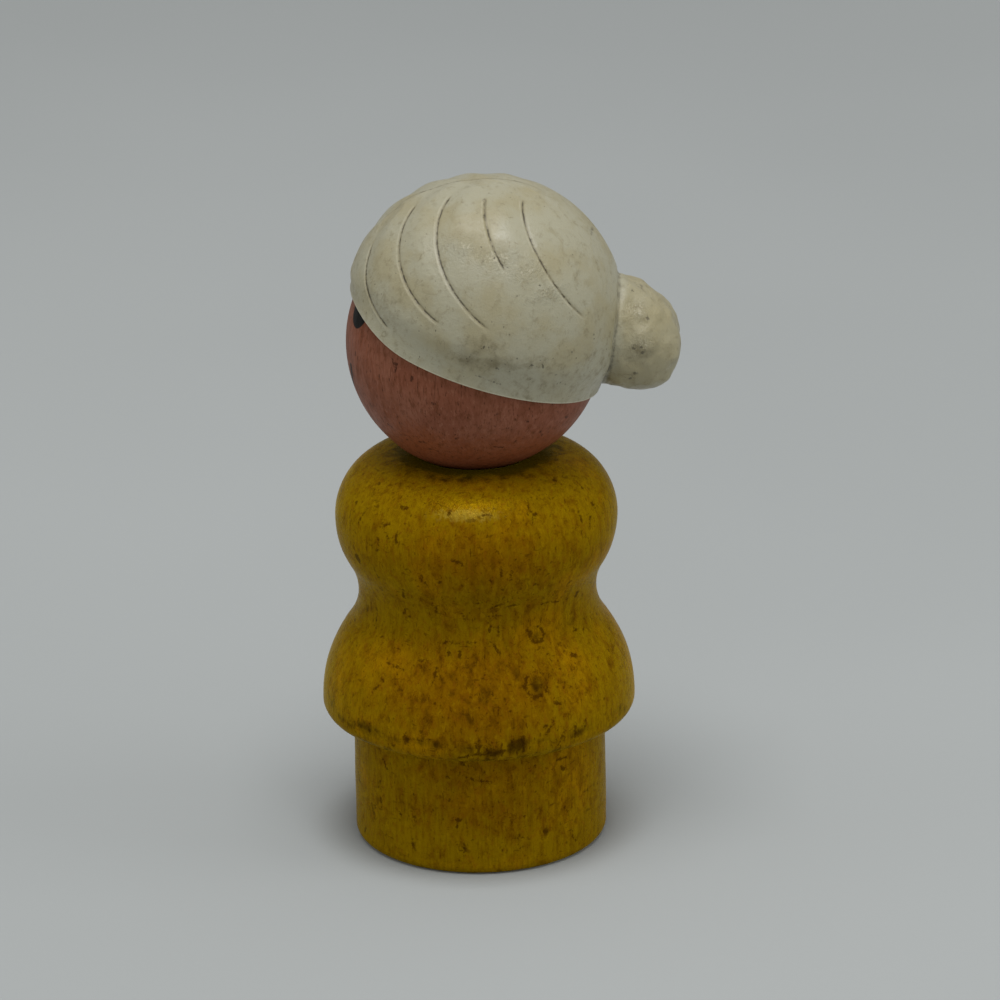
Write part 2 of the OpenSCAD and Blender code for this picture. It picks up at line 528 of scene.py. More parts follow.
@dataclass(frozen=True)
class FleshPaint:
    """Thin flesh pink paint on a turned maple ball, with eyes and a smile painted on it.

    The paint is dull and thin: the wood's upright grain shows through it as fine streaks, nicks go down
    to dark wood, and low down it is darker, with dirt and painted shade.
    """

    pink: str = "#7f4c38"
    pale: str = "#8d5c47"
    streak: str = "#683a25"
    brown: str = "#5f351d"
    dirt: str = "#83441f"
    nick: str = "#32190c"
    black: str = "#060706"
    gloss: tuple = (1.0, 0.75, 0.6, 1.0)
    fibres: Grain = Grain(0.17, stretch=9, octaves=3)
    scratches: Grain = Grain(0.13, stretch=22)
    streaks: Grain = Grain(0.8, stretch=4, octaves=4)
    clouds: Grain = Grain(3.5, octaves=4, crisp=0.6)
    mottle: Grain = Grain(0.4, stretch=2, octaves=4, crisp=0.65)
    crumbs: Grain = Grain(0.4, stretch=1.4, octaves=4, crisp=0.7)
    pores: Grain = Grain(0.28, stretch=2.4)
    roughness: tuple = (0.44, 0.58)
    # How far fine grain frays the edges of the dirt with painted shade, the nicks and the painted face
    dirt_and_shade_fray: float = 1.2
    nick_fray: float = 0.8
    paint_fray: float = 0.2

    def material(self) -> bpy.types.Material:
        """Lays the paint's shades over one another, then dirt with painted shade, nicks and the face.

        Returns:
            The material.
        """
        m = Finish("flesh paint on maple")
        fibres, streaks, mottle = self.fibres.laid(m), self.streaks.laid(m), self.mottle.laid(m)
        crumbs, pores = self.crumbs.laid(m), self.pores.laid(m)
        grime, nick, paint = (
            m.add("Attribute", output="Fac", attribute_name=name)
            for name in ("grime", "nick_mm", "paint_mm")
        )
        dirt = m.add("Math", crumbs, self.dirt_and_shade_fray, grime, operation="MULTIPLY_ADD")
        nicks = m.add("Math", crumbs, self.nick_fray, nick, operation="MULTIPLY_ADD")
        edge = m.add("Math", crumbs, self.paint_fray, paint, operation="MULTIPLY_ADD")
        colour = m.layered(
            self.pink,
            Layer(self.clouds.laid(m), 0.42, 0.64, 0.5, self.pale),
            Layer(streaks, 0.48, 0.68, 0.45, self.streak),
            Layer(fibres, 0.5, 0.68, 0.45, self.streak),
            Layer(mottle, 0.46, 0.32, 0.75, self.pale),
            # Dirt, and painted shade low down
            Layer(dirt, 0.65, 1.6, 0.6, self.dirt),
            Layer(mottle, 0.53, 0.68, 0.65, self.brown),
            Layer(self.scratches.laid(m), 0.62, 0.72, 0.55, self.nick),
            Layer(pores, 0.66, 0.73, 0.65, self.nick),
            Layer(nicks, 0.5, 0.34, 0.8, self.nick),
            Layer(edge, 0.14, 0.04, 1.0, self.black),
        )
        normal = m.relief((fibres, 0.012), (crumbs, 0.02), (pores, -0.015), (mottle, 0.03))
        return m.shade(
            Base_Color=colour,
            Roughness=m.add("MapRange", streaks, *GRAIN_SPAN, *self.roughness),
            Specular_IOR_Level=0.15,
            Specular_Tint=self.gloss,
            Normal=normal,
        )


@dataclass(frozen=True)
class IvoryPlastic:
    """Low-density polyethylene, moulded in ivory and yellowed by age.

    It is waxy: light goes a little way in, the gloss is soft and broken by scuffs, dirt sits in the
    incised lines, pits and creases, and the bun has yellowed more than the rest. The pale on the scuffs
    is wear and painted highlight, and the pale along the rim's edge and on the lips beside the lines is
    painted highlight.
    """

    ivory: str = "#a09c85"
    aged: str = "#99906f"
    stain: str = "#8b815f"
    smudge: str = "#6b6142"
    rim: str = "#a19d87"
    # Pale of the scuffs, partly painted highlight, and of the painted highlights along the rim's edge and
    # on the lips
    pale: str = "#c4bda4"
    dirt: str = "#352d1d"
    depth: float = 0.6
    clouds: Grain = Grain(4.5, octaves=4)
    stains: Grain = Grain(1.8, octaves=4, crisp=0.6)
    mottle: Grain = Grain(0.7, octaves=5, crisp=0.7)
    crumbs: Grain = Grain(0.32, octaves=4, crisp=0.7)
    specks: Grain = Grain(0.36, octaves=1)
    scuffs_and_highlights: Grain = Grain(0.24, octaves=4, crisp=0.7)
    hairlines: Grain = Grain(2.6, bend=1.2)
    roughness: tuple = (0.3, 0.48)
    # How far fine grain frays the edges of lines, soiled places and pits, and what soil adds to specks
    line_fray: float = 0.14
    soil_fray: float = 1.6
    pit_fray: float = 0.8
    speck_soil: float = 0.12
    # An incised line, in mm from its middle: edge and bottom of its groove and of its dark core, and
    # the place and the width of the painted highlight on its lip
    groove_edge: tuple = (0.2, 0.05)
    core_edge: tuple = (0.11, 0.02)
    lip_at: float = 0.26
    lip_highlight_edge: tuple = (0.14, 0.03)
    # How the mottle breaks up dirt in lines and crease: two of its values, and the shares left at them
    line_breaks: tuple = (0.4, 0.6, 0.25, 1.2)
    crease_breaks: tuple = (0.36, 0.6, 0.6, 1.0)
    # Fine scratches: how far the pattern is from its middle at edge and core, and the stains they are in
    scratch_edge: tuple = (0.012, 0.002)
    scratch_place: tuple = (0.5, 0.62)

    def material(self) -> bpy.types.Material:
        """Lays the plastic's shades over one another, then scuffs with painted highlights, painted
        highlights on the rim's edge and the lips, and the dirt in pits and lines.

        Returns:
            The material.
        """
        m = Finish("ivory polyethylene")
        stains, mottle, crumbs = self.stains.laid(m), self.mottle.laid(m), self.crumbs.laid(m)
        line, depth, crease, rim, bun, soil, mark, rubbed = (
            m.add("Attribute", output="Fac", attribute_name=name)
            for name in ("line_mm", "line_depth", "crease", "rim", "bun", "soil", "mark_mm", "rubbed")
        )
        frayed = m.add("Math", crumbs, self.line_fray, line, operation="MULTIPLY_ADD")
        off_line = m.add("Math", frayed, self.line_fray * GRAIN_MIDDLE, operation="SUBTRACT")
        beside = m.add("Math", off_line, operation="ABSOLUTE")
        broken = m.add("Math", depth, m.add("MapRange", mottle, *self.line_breaks), operation="MULTIPLY")
        groove = m.add("Math", depth, m.add("MapRange", beside, *self.groove_edge), operation="MULTIPLY")
        core = m.add("Math", broken, m.add("MapRange", beside, *self.core_edge), operation="MULTIPLY")
        off_lip = m.add("Math", line, self.lip_at, operation="SUBTRACT")
        by_lip = m.add("Math", off_lip, operation="ABSOLUTE")
        lip_highlights = m.add("Math", broken, m.add("MapRange", by_lip, *self.lip_highlight_edge), operation="MULTIPLY")
        gap = m.add("Math", crease, m.add("MapRange", mottle, *self.crease_breaks), operation="MULTIPLY")
        soiled = m.add("Math", mottle, self.soil_fray, soil, operation="MULTIPLY_ADD")
        speckled = m.add("Math", soil, self.speck_soil, self.specks.laid(m), operation="MULTIPLY_ADD")
        pits = m.add("Math", crumbs, self.pit_fray, mark, operation="MULTIPLY_ADD")
        hairline = m.add("Math", self.hairlines.laid(m), GRAIN_MIDDLE, operation="SUBTRACT")
        thin = m.add("MapRange", m.add("Math", hairline, operation="ABSOLUTE"), *self.scratch_edge)
        held = m.add("MapRange", stains, *self.scratch_place)
        scratches = m.add("Math", thin, held, operation="MULTIPLY")
        scuffs_and_highlights = m.add("Math", self.scuffs_and_highlights.laid(m), rubbed, operation="MULTIPLY")
        colour = m.layered(
            self.ivory,
            Layer(self.clouds.laid(m), 0.42, 0.64, 0.7, self.aged),
            Layer(bun, 0.1, 1.0, 0.6, self.aged),
            Layer(rim, 0.1, 1.0, 0.4, self.rim),
            Layer(stains, 0.54, 0.7, 0.35, self.stain),
            Layer(mottle, 0.52, 0.7, 0.3, self.smudge),
            Layer(soiled, 0.95, 1.9, 0.7, self.smudge),
            # Pale on the scuffs: wear, and a painted highlight at the places listed as rubbed
            Layer(scuffs_and_highlights, 0.46, 0.6, 0.6, self.pale),
            # Painted highlight along the rim's edge
            Layer(rim, 1.2, 1.9, 0.45, self.pale),
            # Painted highlight on the lips beside the lines
            Layer(lip_highlights, 0.1, 0.9, 0.25, self.pale),
            Layer(scratches, 0.2, 1.0, 0.4, self.smudge),
            Layer(speckled, 0.76, 0.82, 0.65, self.dirt),
            Layer(pits, 0.46, 0.34, 0.6, self.dirt),
            Layer(gap, 0.45, 1.0, 0.5, self.dirt),
            Layer(groove, 0.1, 0.9, 0.45, self.smudge),
            Layer(core, 0.25, 0.9, 0.8, self.dirt),
        )
        normal = m.relief(
            (scuffs_and_highlights, 0.17), (crumbs, 0.014), (core, -0.03), (lip_highlights, 0.01), (mottle, 0.05), (stains, 0.06)
        )
        return m.shade(
            Base_Color=colour,
            Roughness=m.add("MapRange", mottle, *GRAIN_SPAN, *self.roughness),
            IOR=1.51,
            Normal=normal,
            Subsurface_Weight=0.12,
            Subsurface_Radius=(1.0, 0.9, 0.7),
            Subsurface_Scale=self.depth * MM,
        )


@dataclass(frozen=True)
class BareMaple:
    """Bare hard maple dowel: pale, dull, with fine grain along it and sparse darker pores."""

    wood: str = "#c9a87d"
    grain: str = "#a8835a"
    pore: str = "#7b5a39"
    fibres: Grain = Grain(0.3, stretch=14, octaves=3)
    pores: Grain = Grain(0.35, stretch=5)
    roughness: tuple = (0.6, 0.72)

    def material(self) -> bpy.types.Material:
        """Lays grain and pores over the wood.

        Returns:
            The material.
        """
        m = Finish("bare maple")
        fibres, pores = self.fibres.laid(m), self.pores.laid(m)
        colour = m.layered(
            self.wood, Layer(fibres, 0.42, 0.66, 0.7, self.grain), Layer(pores, 0.64, 0.72, 0.7, self.pore)
        )
        return m.shade(
            Base_Color=colour,
            Roughness=m.add("MapRange", fibres, *GRAIN_SPAN, *self.roughness),
            IOR=1.5,
            Normal=m.relief((fibres, 0.02), (pores, -0.03)),
        )


@dataclass(frozen=True)
class MattCard:
    """Matt card for the stage: an even pale grey with a faint tooth."""

    grey: str = "#a8acac"
    shade_grey: str = "#a5a9a9"
    clouds: Grain = Grain(120)
    tooth: Grain = Grain(0.6, octaves=3)

    def material(self) -> bpy.types.Material:
        """Lays a second grey over the first in wide clouds.

        Returns:
            The material.
        """
        m = Finish("matt grey card")
        colour = m.layered(self.grey, Layer(self.clouds.laid(m), 0.35, 0.65, 1.0, self.shade_grey))
        return m.shade(Base_Color=colour, Roughness=0.9, Normal=m.relief((self.tooth.laid(m), 0.01)))


# Pieces


@dataclass(frozen=True)
class Strays:
    """Short thin scratches strewn over a piece at random.

    Attributes:
        count: How many.
        seed: The seed of their places and lengths.
        angles: The range of their angles round from +X, in degrees.
        heights: The range of their heights in millimetres, or of their elevations in degrees.
        turn: The greatest change of angle from one end to the other.
        rise: The greatest rise from one end to the other.
        half: The greatest half width in millimetres.
    """

    count: int
    seed: int
    angles: tuple
    heights: tuple
    turn: float
    rise: float
    half: float = 0.1

    def strewn(self) -> Array:
        """Draws them, evenly spread over the ranges.

        Returns:
            Angle and height of both ends and half the width, one row per scratch.
        """
        rng = np.random.default_rng(self.seed)
        angle = rng.uniform(*self.angles, self.count)
        height = rng.uniform(*self.heights, self.count)
        end_angle = angle + rng.uniform(-self.turn, self.turn, self.count)
        end_height = height + rng.uniform(0, self.rise, self.count)
        half = rng.uniform(0, self.half, self.count)
        return np.stack([angle, height, end_angle, end_height, half], axis=-1)


@dataclass
class TurnedBody:
    """The body, turned in one piece: a peg, a skirt, a waist and round shoulders, dished for the head."""

    peg_r: float = 11.1
    peg_h: float = 11.5
    peg_edge_r: float = 0.75
    inner_corner_r: float = 0.35
    skirt_r: float = 13.75
    skirt_edge_r: float = 1.2
    skirt_flank_r: float = 12
    waist_r: float = 10.4
    waist_hollow_r: float = 5.1
    shoulder_r: float = 12.3
    shoulder_round_r: float = 5.7
    chest_r: float = 7.9
    seat_depth: float = 1.2
    seat_gap: float = 0.1
    bore_r: float = 3.26
    bore_depth: float = 11.4
    ball_r: float = 11.1
    fine: float = 0.2
    coarse: float = 1.6
    columns: int = 400
    unevenness: float = 0.035
    # Share of the quick unevenness beside the slow one, and how far their mean lies inside the outline
    quick_share: float = 0.4
    inward: float = 0.6
    # Heights above the foot, and radii outside the seat, between which the unevenness sets in
    foot_free: tuple = (0.4, 1.2)
    seat_free: tuple = (7.4, 8.4)
    # Ring-shaped dents: angle round from +X and height, then the ring's radius
    ring_dents: tuple = ((29, 21.7, 0.65), (23.5, 18, 1.05), (-118, 18.6, 0.8), (150, 29.5, 0.6))
    # Half width of a ring's line, how uneven it is, and how much thinner towards its open side
    ring_line: float = 0.12
    ring_waver: float = 0.7
    ring_opening: float = 0.5
    # Soft knocks: angle round from +X, height, radius and depth
    knocks: tuple = (
        (28, 21.8, 0.8, 0.07),
        (22, 17.9, 1.1, 0.09),
        (13, 13.1, 1.3, 0.16),
        (-45, 13.0, 1.6, 0.1),
        (7, 24.6, 0.9, 0.06),
        (-36, 5.6, 1.5, 0.08),
        (100, 13.0, 1.5, 0.12),
        (-150, 12.9, 1.8, 0.12),
        (170, 31, 1.2, 0.08),
    )
    # Smears of grime: angle round from +X, height, half width along the angle, half height, strength
    smears: tuple = (
        (-46, 13.4, 2.6, 0.6, 1.2),
        (-70, 13.8, 1.8, 0.7, 0.9),
        (-22, 13.3, 2.4, 0.5, 1.0),
        (-3, 12.9, 2.0, 0.7, 0.9),
        (13, 13.0, 1.5, 0.9, 1.3),
        (5, 12.6, 2.4, 0.6, 1.0),
        (27, 13.2, 1.4, 0.6, 0.8),
        (40, 13.4, 2.2, 0.7, 1.1),
        (62, 13.4, 1.8, 0.5, 0.9),
        # Broad smear on the peg under the front of the skirt: painted shadow of the skirt
        (0, 10.2, 8.0, 1.0, 0.3),
        (0, 18.0, 9.0, 4.0, 0.62),
        (36, 9.5, 1.2, 0.9, 0.5),
        (-8, 24.5, 1.2, 0.5, 0.5),
        (12, 24.4, 2.0, 0.6, 0.5),
        (-66, 22.4, 0.7, 0.6, 0.7),
        (50, 22.0, 0.7, 0.7, 0.6),
        (29, 21.6, 0.55, 0.6, 1.1),
        (23.5, 17.9, 0.95, 0.95, 1.1),
        (-36, 5.5, 0.9, 1.4, 0.6),
        (24, 5.6, 0.7, 0.9, 0.5),
        (30, 3.3, 0.5, 1.0, 0.6),
        (17, 3.3, 0.4, 0.9, 0.55),
        (-8, 2.4, 0.9, 0.8, 0.5),
        (-54, 5.3, 0.6, 1.4, 0.35),
        (-58, 27.9, 0.5, 0.5, 0.7),
        (-38, 34.6, 2.6, 0.5, 0.5),
        (110, 13.2, 5.0, 0.5, 1.0),
        (-130, 13.3, 4.0, 0.5, 1.0),
        (175, 13.0, 3.0, 0.6, 1.1),
        (-150, 24.3, 4.0, 0.6, 0.6),
        (160, 7, 1.2, 1.6, 0.5),
        (-110, 5, 1.0, 1.5, 0.5),
    )
    # Places darkened by hands, listed as the smears are; those on the front, at angles near 0, are also
    # painted shade, and the one at the seat paints the shade under the ball
    hands_and_shade: tuple = (
        (-3, 17.5, 9, 5, 0.9),
        (3, 29.5, 8, 3.5, 0.75),
        (0, 24.3, 9, 2.0, 0.35),
        (0, 9.6, 9, 1.5, 0.65),
        (0, 6.5, 8, 3, 0.6),
        (0, 35.4, 9, 1.0, 0.6),
        (-150, 18, 9, 6, 0.8),
        (150, 29, 8, 5, 0.6),
        (120, 15, 6, 4, 0.5),
        (180, 8, 8, 3, 0.5),
    )
    # Places on the shoulders' ridge that are rubbed pale, listed the same way; the pale also paints a
    # yellow highlight, most on the front ones
    rubs_and_highlights: tuple = (
        (-4, 33.3, 3.4, 0.55, 1.0),
        (3, 33.1, 2.2, 0.4, 0.8),
        (-95, 33.4, 4.0, 0.5, 0.6),
        (150, 33.2, 4.5, 0.5, 0.55),
        (-160, 33.0, 3.0, 0.5, 0.5),
    )
    # Scratches and pits: angle round from +X and height of both ends, half width
    scratches: tuple = (
        (0, 13.9, 0, 12.6, 0.1),
        (4, 13.6, 4, 12.4, 0.12),
        (8, 13.3, 8, 12.3, 0.1),
        (12, 13.9, 12, 12.6, 0.1),
        (16, 13.8, 16, 12.5, 0.12),
        (32, 13.7, 32, 12.8, 0.12),
        (37, 14.0, 37, 13.0, 0.14),
        (42, 14.1, 42, 13.3, 0.12),
        (-28, 13.8, -28, 13.0, 0.1),
        (-44, 14.0, -44, 13.1, 0.1),
        (-50, 14.0, -50, 13.3, 0.12),
        (-20, 35.2, -20, 35.2, 0.25),
        (-57, 34.3, -57, 34.3, 0.2),
        (47, 34.7, 47, 34.7, 0.2),
        (-35, 33.4, -33, 33.4, 0.16),
        (-63, 32.5, -63, 32.5, 0.18),
        (59, 32.5, 60, 32.0, 0.1),
        (49, 32.3, 49, 31.5, 0.1),
        (3, 33.3, 7, 33.3, 0.08),
        (26, 33.0, 27, 33.0, 0.1),
        (-43, 30.6, -43, 29.5, 0.1),
        (-34, 31.4, -34, 30.6, 0.12),
        (-58, 28.0, -57, 27.8, 0.35),
        (10, 29.0, 10, 27.9, 0.06),
        (14, 29.0, 14, 27.7, 0.06),
        (-21, 27.4, -21, 27.0, 0.12),
        (-15, 27.5, -15, 27.5, 0.16),
        (25, 26.9, 26, 26.9, 0.15),
        (55, 24.3, 54, 24.1, 0.2),
        (6, 24.7, 11, 25.1, 0.07),
        (5, 23.9, 11, 24.0, 0.07),
        (14, 24.8, 19, 24.9, 0.07),
        (31, 24.5, 42, 24.3, 0.07),
        (5, 23.3, 5, 23.3, 0.14),
        (10, 22.9, 10, 22.2, 0.08),
        (-46, 21.5, -43, 21.5, 0.08),
        (-13, 20.6, -13, 20.6, 0.16),
        (-8, 20.9, -8, 20.5, 0.14),
        (44, 19.4, 45, 19.3, 0.24),
        (-41, 19.2, -33, 19.0, 0.1),
        (-18, 19.5, -18, 18.6, 0.1),
        (-41, 17.9, -41, 17.8, 0.18),
        (-17, 21.3, -1, 21.6, 0.05),
        (-37, 17.0, -37, 15.8, 0.05),
        (5, 17.6, 7, 17.2, 0.08),
        (-29, 13.4, -16, 13.7, 0.1),
        (-1, 13.7, -1, 13.2, 0.1),
        (3, 13.1, 3, 12.4, 0.12),
        (-8, 12.1, -1, 12.6, 0.1),
        (-1, 12.6, 9, 12.7, 0.12),
        (31, 13.4, 31, 12.8, 0.12),
        (-4, 9.0, 5, 8.8, 0.07),
        (40, 8.9, 41, 8.8, 0.2),
        (37, 9.8, 43, 9.8, 0.1),
        (-15, 9.2, -14, 9.2, 0.12),
    )
    strays: Strays = Strays(240, 31, (0, 360), (1, 34.5), turn=4, rise=1.1)
    # Strength of the grime and painted shade under the skirt, of the grime along its edge, of the grime and
    # painted contact shade at the foot and of the grime and painted shade round the neck, and the grime
    # and painted shade added close to the ball
    grime_under: float = 0.75
    grime_edge: float = 0.85
    grime_foot: float = 0.3
    grime_neck: float = 0.6
    grime_seat: float = 1.1
    # Grime along the edge: how far above the rounding, how far that wavers, half height, and the
    # unevenness at which it is broken off and whole
    edge_above: float = 0.5
    edge_waver: float = 0.3
    edge_tall: float = 0.45
    edge_breaks: tuple = (-0.6, 0.5)
    # Half height of the grime and painted contact shade at the foot, and the heights over which the grime
    # and painted shade fade: round the skirt's edge and on the peg below the skirt, then down the shoulders
    foot_tall: float = 0.35
    under_soft: tuple = (1, 0.6)
    neck_tall: float = 2
    # Radii between which it sets in along the edge, round the neck and close to the ball
    edge_reach: tuple = (12.4, 13.2)
    neck_reach: tuple = (9.4, 7.4)
    seat_reach: tuple = (7.8, 5.6)
    top: float = field(init=False)
    seat_z: float = field(init=False)

    def __post_init__(self) -> None:
        """Works out where the outline's arcs meet, each running into the next one, and turns it."""
        self.skirt_c = np.array([self.skirt_r - self.skirt_flank_r, self.peg_h + self.skirt_edge_r])
        waist_x = self.waist_r + self.waist_hollow_r
        chest_x = self.shoulder_r - self.chest_r
        skirt_to_waist = self.skirt_flank_r + self.waist_hollow_r
        waist_to_chest = self.waist_hollow_r + self.chest_r
        self.skirt_turn = math.acos((waist_x - self.skirt_c[0]) / skirt_to_waist)
        self.chest_turn = math.acos((waist_x - chest_x) / waist_to_chest)
        waist_z = self.skirt_c[1] + skirt_to_waist * math.sin(self.skirt_turn)
        chest_z = waist_z + waist_to_chest * math.sin(self.chest_turn)
        self.waist_c = np.array([waist_x, waist_z])
        self.chest_c = np.array([chest_x, chest_z])
        self.top = chest_z + self.shoulder_round_r
        self.seat_z = self.top - self.seat_depth + self.ball_r
        self.profile = self.outline()
        self.grid = revolve(self.profile, self.columns)

    def outline(self) -> Array:
        """The half outline, from the middle of the underside over the outside into the bore.

        Returns:
            Points (r, z) in millimetres.
        """
        skirt, chest = math.degrees(self.skirt_turn), math.degrees(self.chest_turn)
        seat_r = self.ball_r + self.seat_gap
        rim = math.sqrt(seat_r**2 - (self.seat_z - self.top) ** 2)
        dish_start = math.degrees(math.atan2(self.top - self.seat_z, rim))
        dish_end = -math.degrees(math.acos(self.bore_r / seat_r))
        bore_z = self.seat_z - math.sqrt(seat_r**2 - self.bore_r**2)
        bore_end = self.top - self.seat_depth - self.bore_depth
        inner, edge, fine = self.inner_corner_r, self.peg_edge_r, self.fine
        skirt_x = self.skirt_r - self.skirt_edge_r
        shoulder_x = self.shoulder_r - self.shoulder_round_r
        return np.concatenate(
            [
                line((0, 0), (self.peg_r - edge, 0), self.coarse),
                arc((self.peg_r - edge, edge), edge, -90, 0, fine),
                line((self.peg_r, edge), (self.peg_r, self.peg_h - inner), fine),
                arc((self.peg_r + inner, self.peg_h - inner), inner, 180, 90, fine / 2),
                line((self.peg_r + inner, self.peg_h), (skirt_x, self.peg_h), fine),
                arc((skirt_x, self.skirt_c[1]), self.skirt_edge_r, -90, 0, fine),
                arc(self.skirt_c, self.skirt_flank_r, 0, skirt, fine)[1:],
                arc(self.waist_c, self.waist_hollow_r, 180 + skirt, 180 - chest, fine)[1:],
                arc(self.chest_c, self.chest_r, -chest, 0, fine)[1:],
                arc((shoulder_x, self.chest_c[1]), self.shoulder_round_r, 0, 90, fine)[1:],
                line((shoulder_x, self.top), (rim, self.top), 2 * fine),
                arc((0, self.seat_z), seat_r, dish_start, dish_end, self.coarse / 2),
                line((self.bore_r, bore_z), (self.bore_r, bore_end), self.coarse),
                [(self.bore_r, bore_end)],
            ]
        )

    def on_outside(self, angle: Array | float, height: Array | float) -> Array:
        """Points on the outside at an angle round from +X and a height.

        Args:
            angle: Angles in degrees.
            height: Heights in millimetres.

        Returns:
            Points in millimetres.
        """
        z = self.profile[:, 1]
        outside = self.profile[z.argmin() : z.argmax() + 1]
        r = np.interp(height, np.maximum.accumulate(outside[:, 1]), outside[:, 0])
        a = np.radians(angle)
        return np.stack([r * np.cos(a), r * np.sin(a), np.asarray(height, dtype=float)], axis=-1)

    def marks(self) -> Array:
        """Distance from the nearest scratch, pit or ring-shaped dent, below zero inside it.

        Returns:
            An array of distances in millimetres.
        """
        drawn = np.concatenate([np.array(self.scratches), self.strays.strewn()])
        starts = self.on_outside(drawn[:, 0], drawn[:, 1])
        ends = self.on_outside(drawn[:, 2], drawn[:, 3])
        nearest = stroke_gap(self.grid, starts, ends, drawn[:, 4])
        uneven = 1 + self.ring_waver * lumps(self.grid, size=1.4, seed=41)
        for angle, height, radius in self.ring_dents:
            from_middle = self.grid - self.on_outside(angle, height)
            across = from_middle @ on_ball(angle + 90, 0)
            open_side = np.clip((across + from_middle[..., 2]) / radius, -1, 1)
            half = self.ring_line * (uneven - self.ring_opening * open_side)
            from_ring = np.abs(np.linalg.norm(from_middle, axis=-1) - radius)
            nearest = np.minimum(nearest, from_ring - half)
        return nearest

    def grime(self) -> Array:
        """Where grime and painted shade lie: grime and painted shade under the skirt, round the neck and at
        the foot, grime along the skirt's edge, and smears, one of them painted shadow under the skirt.

        Edge and foot are bell curves of the height, the other two soft steps of height and radius.

        Returns:
            An array from 0 to about 1.7.
        """
        z = self.grid[..., 2]
        r = np.hypot(self.grid[..., 0], self.grid[..., 1])
        edge = self.peg_h + self.skirt_edge_r
        below_edge, below_skirt = self.under_soft
        # Grime and painted shade under the skirt
        under = smooth_step(z, edge, edge - below_edge)
        under *= smooth_step(z, self.peg_h - below_skirt, self.peg_h)
        waver = self.edge_waver * lumps(self.grid, size=9, seed=21)
        along_edge = bell(z - edge - self.edge_above - waver, self.edge_tall)
        along_edge *= smooth_step(r, *self.edge_reach)
        along_edge *= smooth_step(lumps(self.grid, size=6, seed=22), *self.edge_breaks)
        # Grime and painted shade round the neck, darkest close to the ball
        neck = self.grime_neck + self.grime_seat * smooth_step(r, *self.seat_reach)
        neck *= smooth_step(r, *self.neck_reach) * smooth_step(z, self.top - self.neck_tall, self.top)
        # Grime and painted contact shade at the foot
        foot = self.grime_foot * bell(z, self.foot_tall)
        skirt = np.maximum(self.grime_under * under, self.grime_edge * along_edge)
        return np.maximum.reduce([skirt, foot, neck, self.blots(self.smears)])

    def blots(self, places: tuple) -> Array:
        """The strongest of soft blots, each its strength times a bell curve across it and one up it.

        Args:
            places: Angle round from +X, height, half width, half height and strength of each.

        Returns:
            An array from 0 to the greatest strength.
        """
        strongest = np.zeros(self.grid.shape[:2])
        for angle, height, wide, tall, strength in places:
            away = self.grid - self.on_outside(angle, height)
            across = np.linalg.norm(away[..., :2], axis=-1)
            strongest = np.maximum(strongest, strength * bell(across, wide) * bell(away[..., 2], tall))
        return strongest

    def build(self) -> bpy.types.Object:
        """Presses the knocks into the turned outline.

        Each point moves along the outline's normal by a slow and a quick unevenness and by a bell-shaped
        dent per knock. The underside, the seat and the bore stay true.

        Returns:
            The piece.
        """
        slope = unit(np.gradient(self.profile, axis=0))
        out = revolve(np.stack([slope[:, 1], -slope[:, 0]], axis=-1), self.columns)
        slow, quick = lumps(self.grid, size=14, seed=3), lumps(self.grid, size=4, seed=4)
        lift = self.unevenness * (slow + self.quick_share * quick - self.inward)
        for angle, height, radius, depth in self.knocks:
            away = np.linalg.norm(self.grid - self.on_outside(angle, height), axis=-1)
            lift = lift - depth * bell(away, radius)
        r, z = self.profile[:, :1], self.profile[:, 1:]
        free = smooth_step(z, *self.foot_free) * smooth_step(r, *self.seat_free)
        return closed_piece(
            "turned_body",
            self.grid + out * (lift * free)[..., None],
            np.array([[0, 0, 0], [0, 0, self.profile[-1, 1]]]),
            grime=self.grime(),
            handled=self.blots(self.hands_and_shade),
            rubbed=self.blots(self.rubs_and_highlights),
            mark_mm=self.marks(),
        )


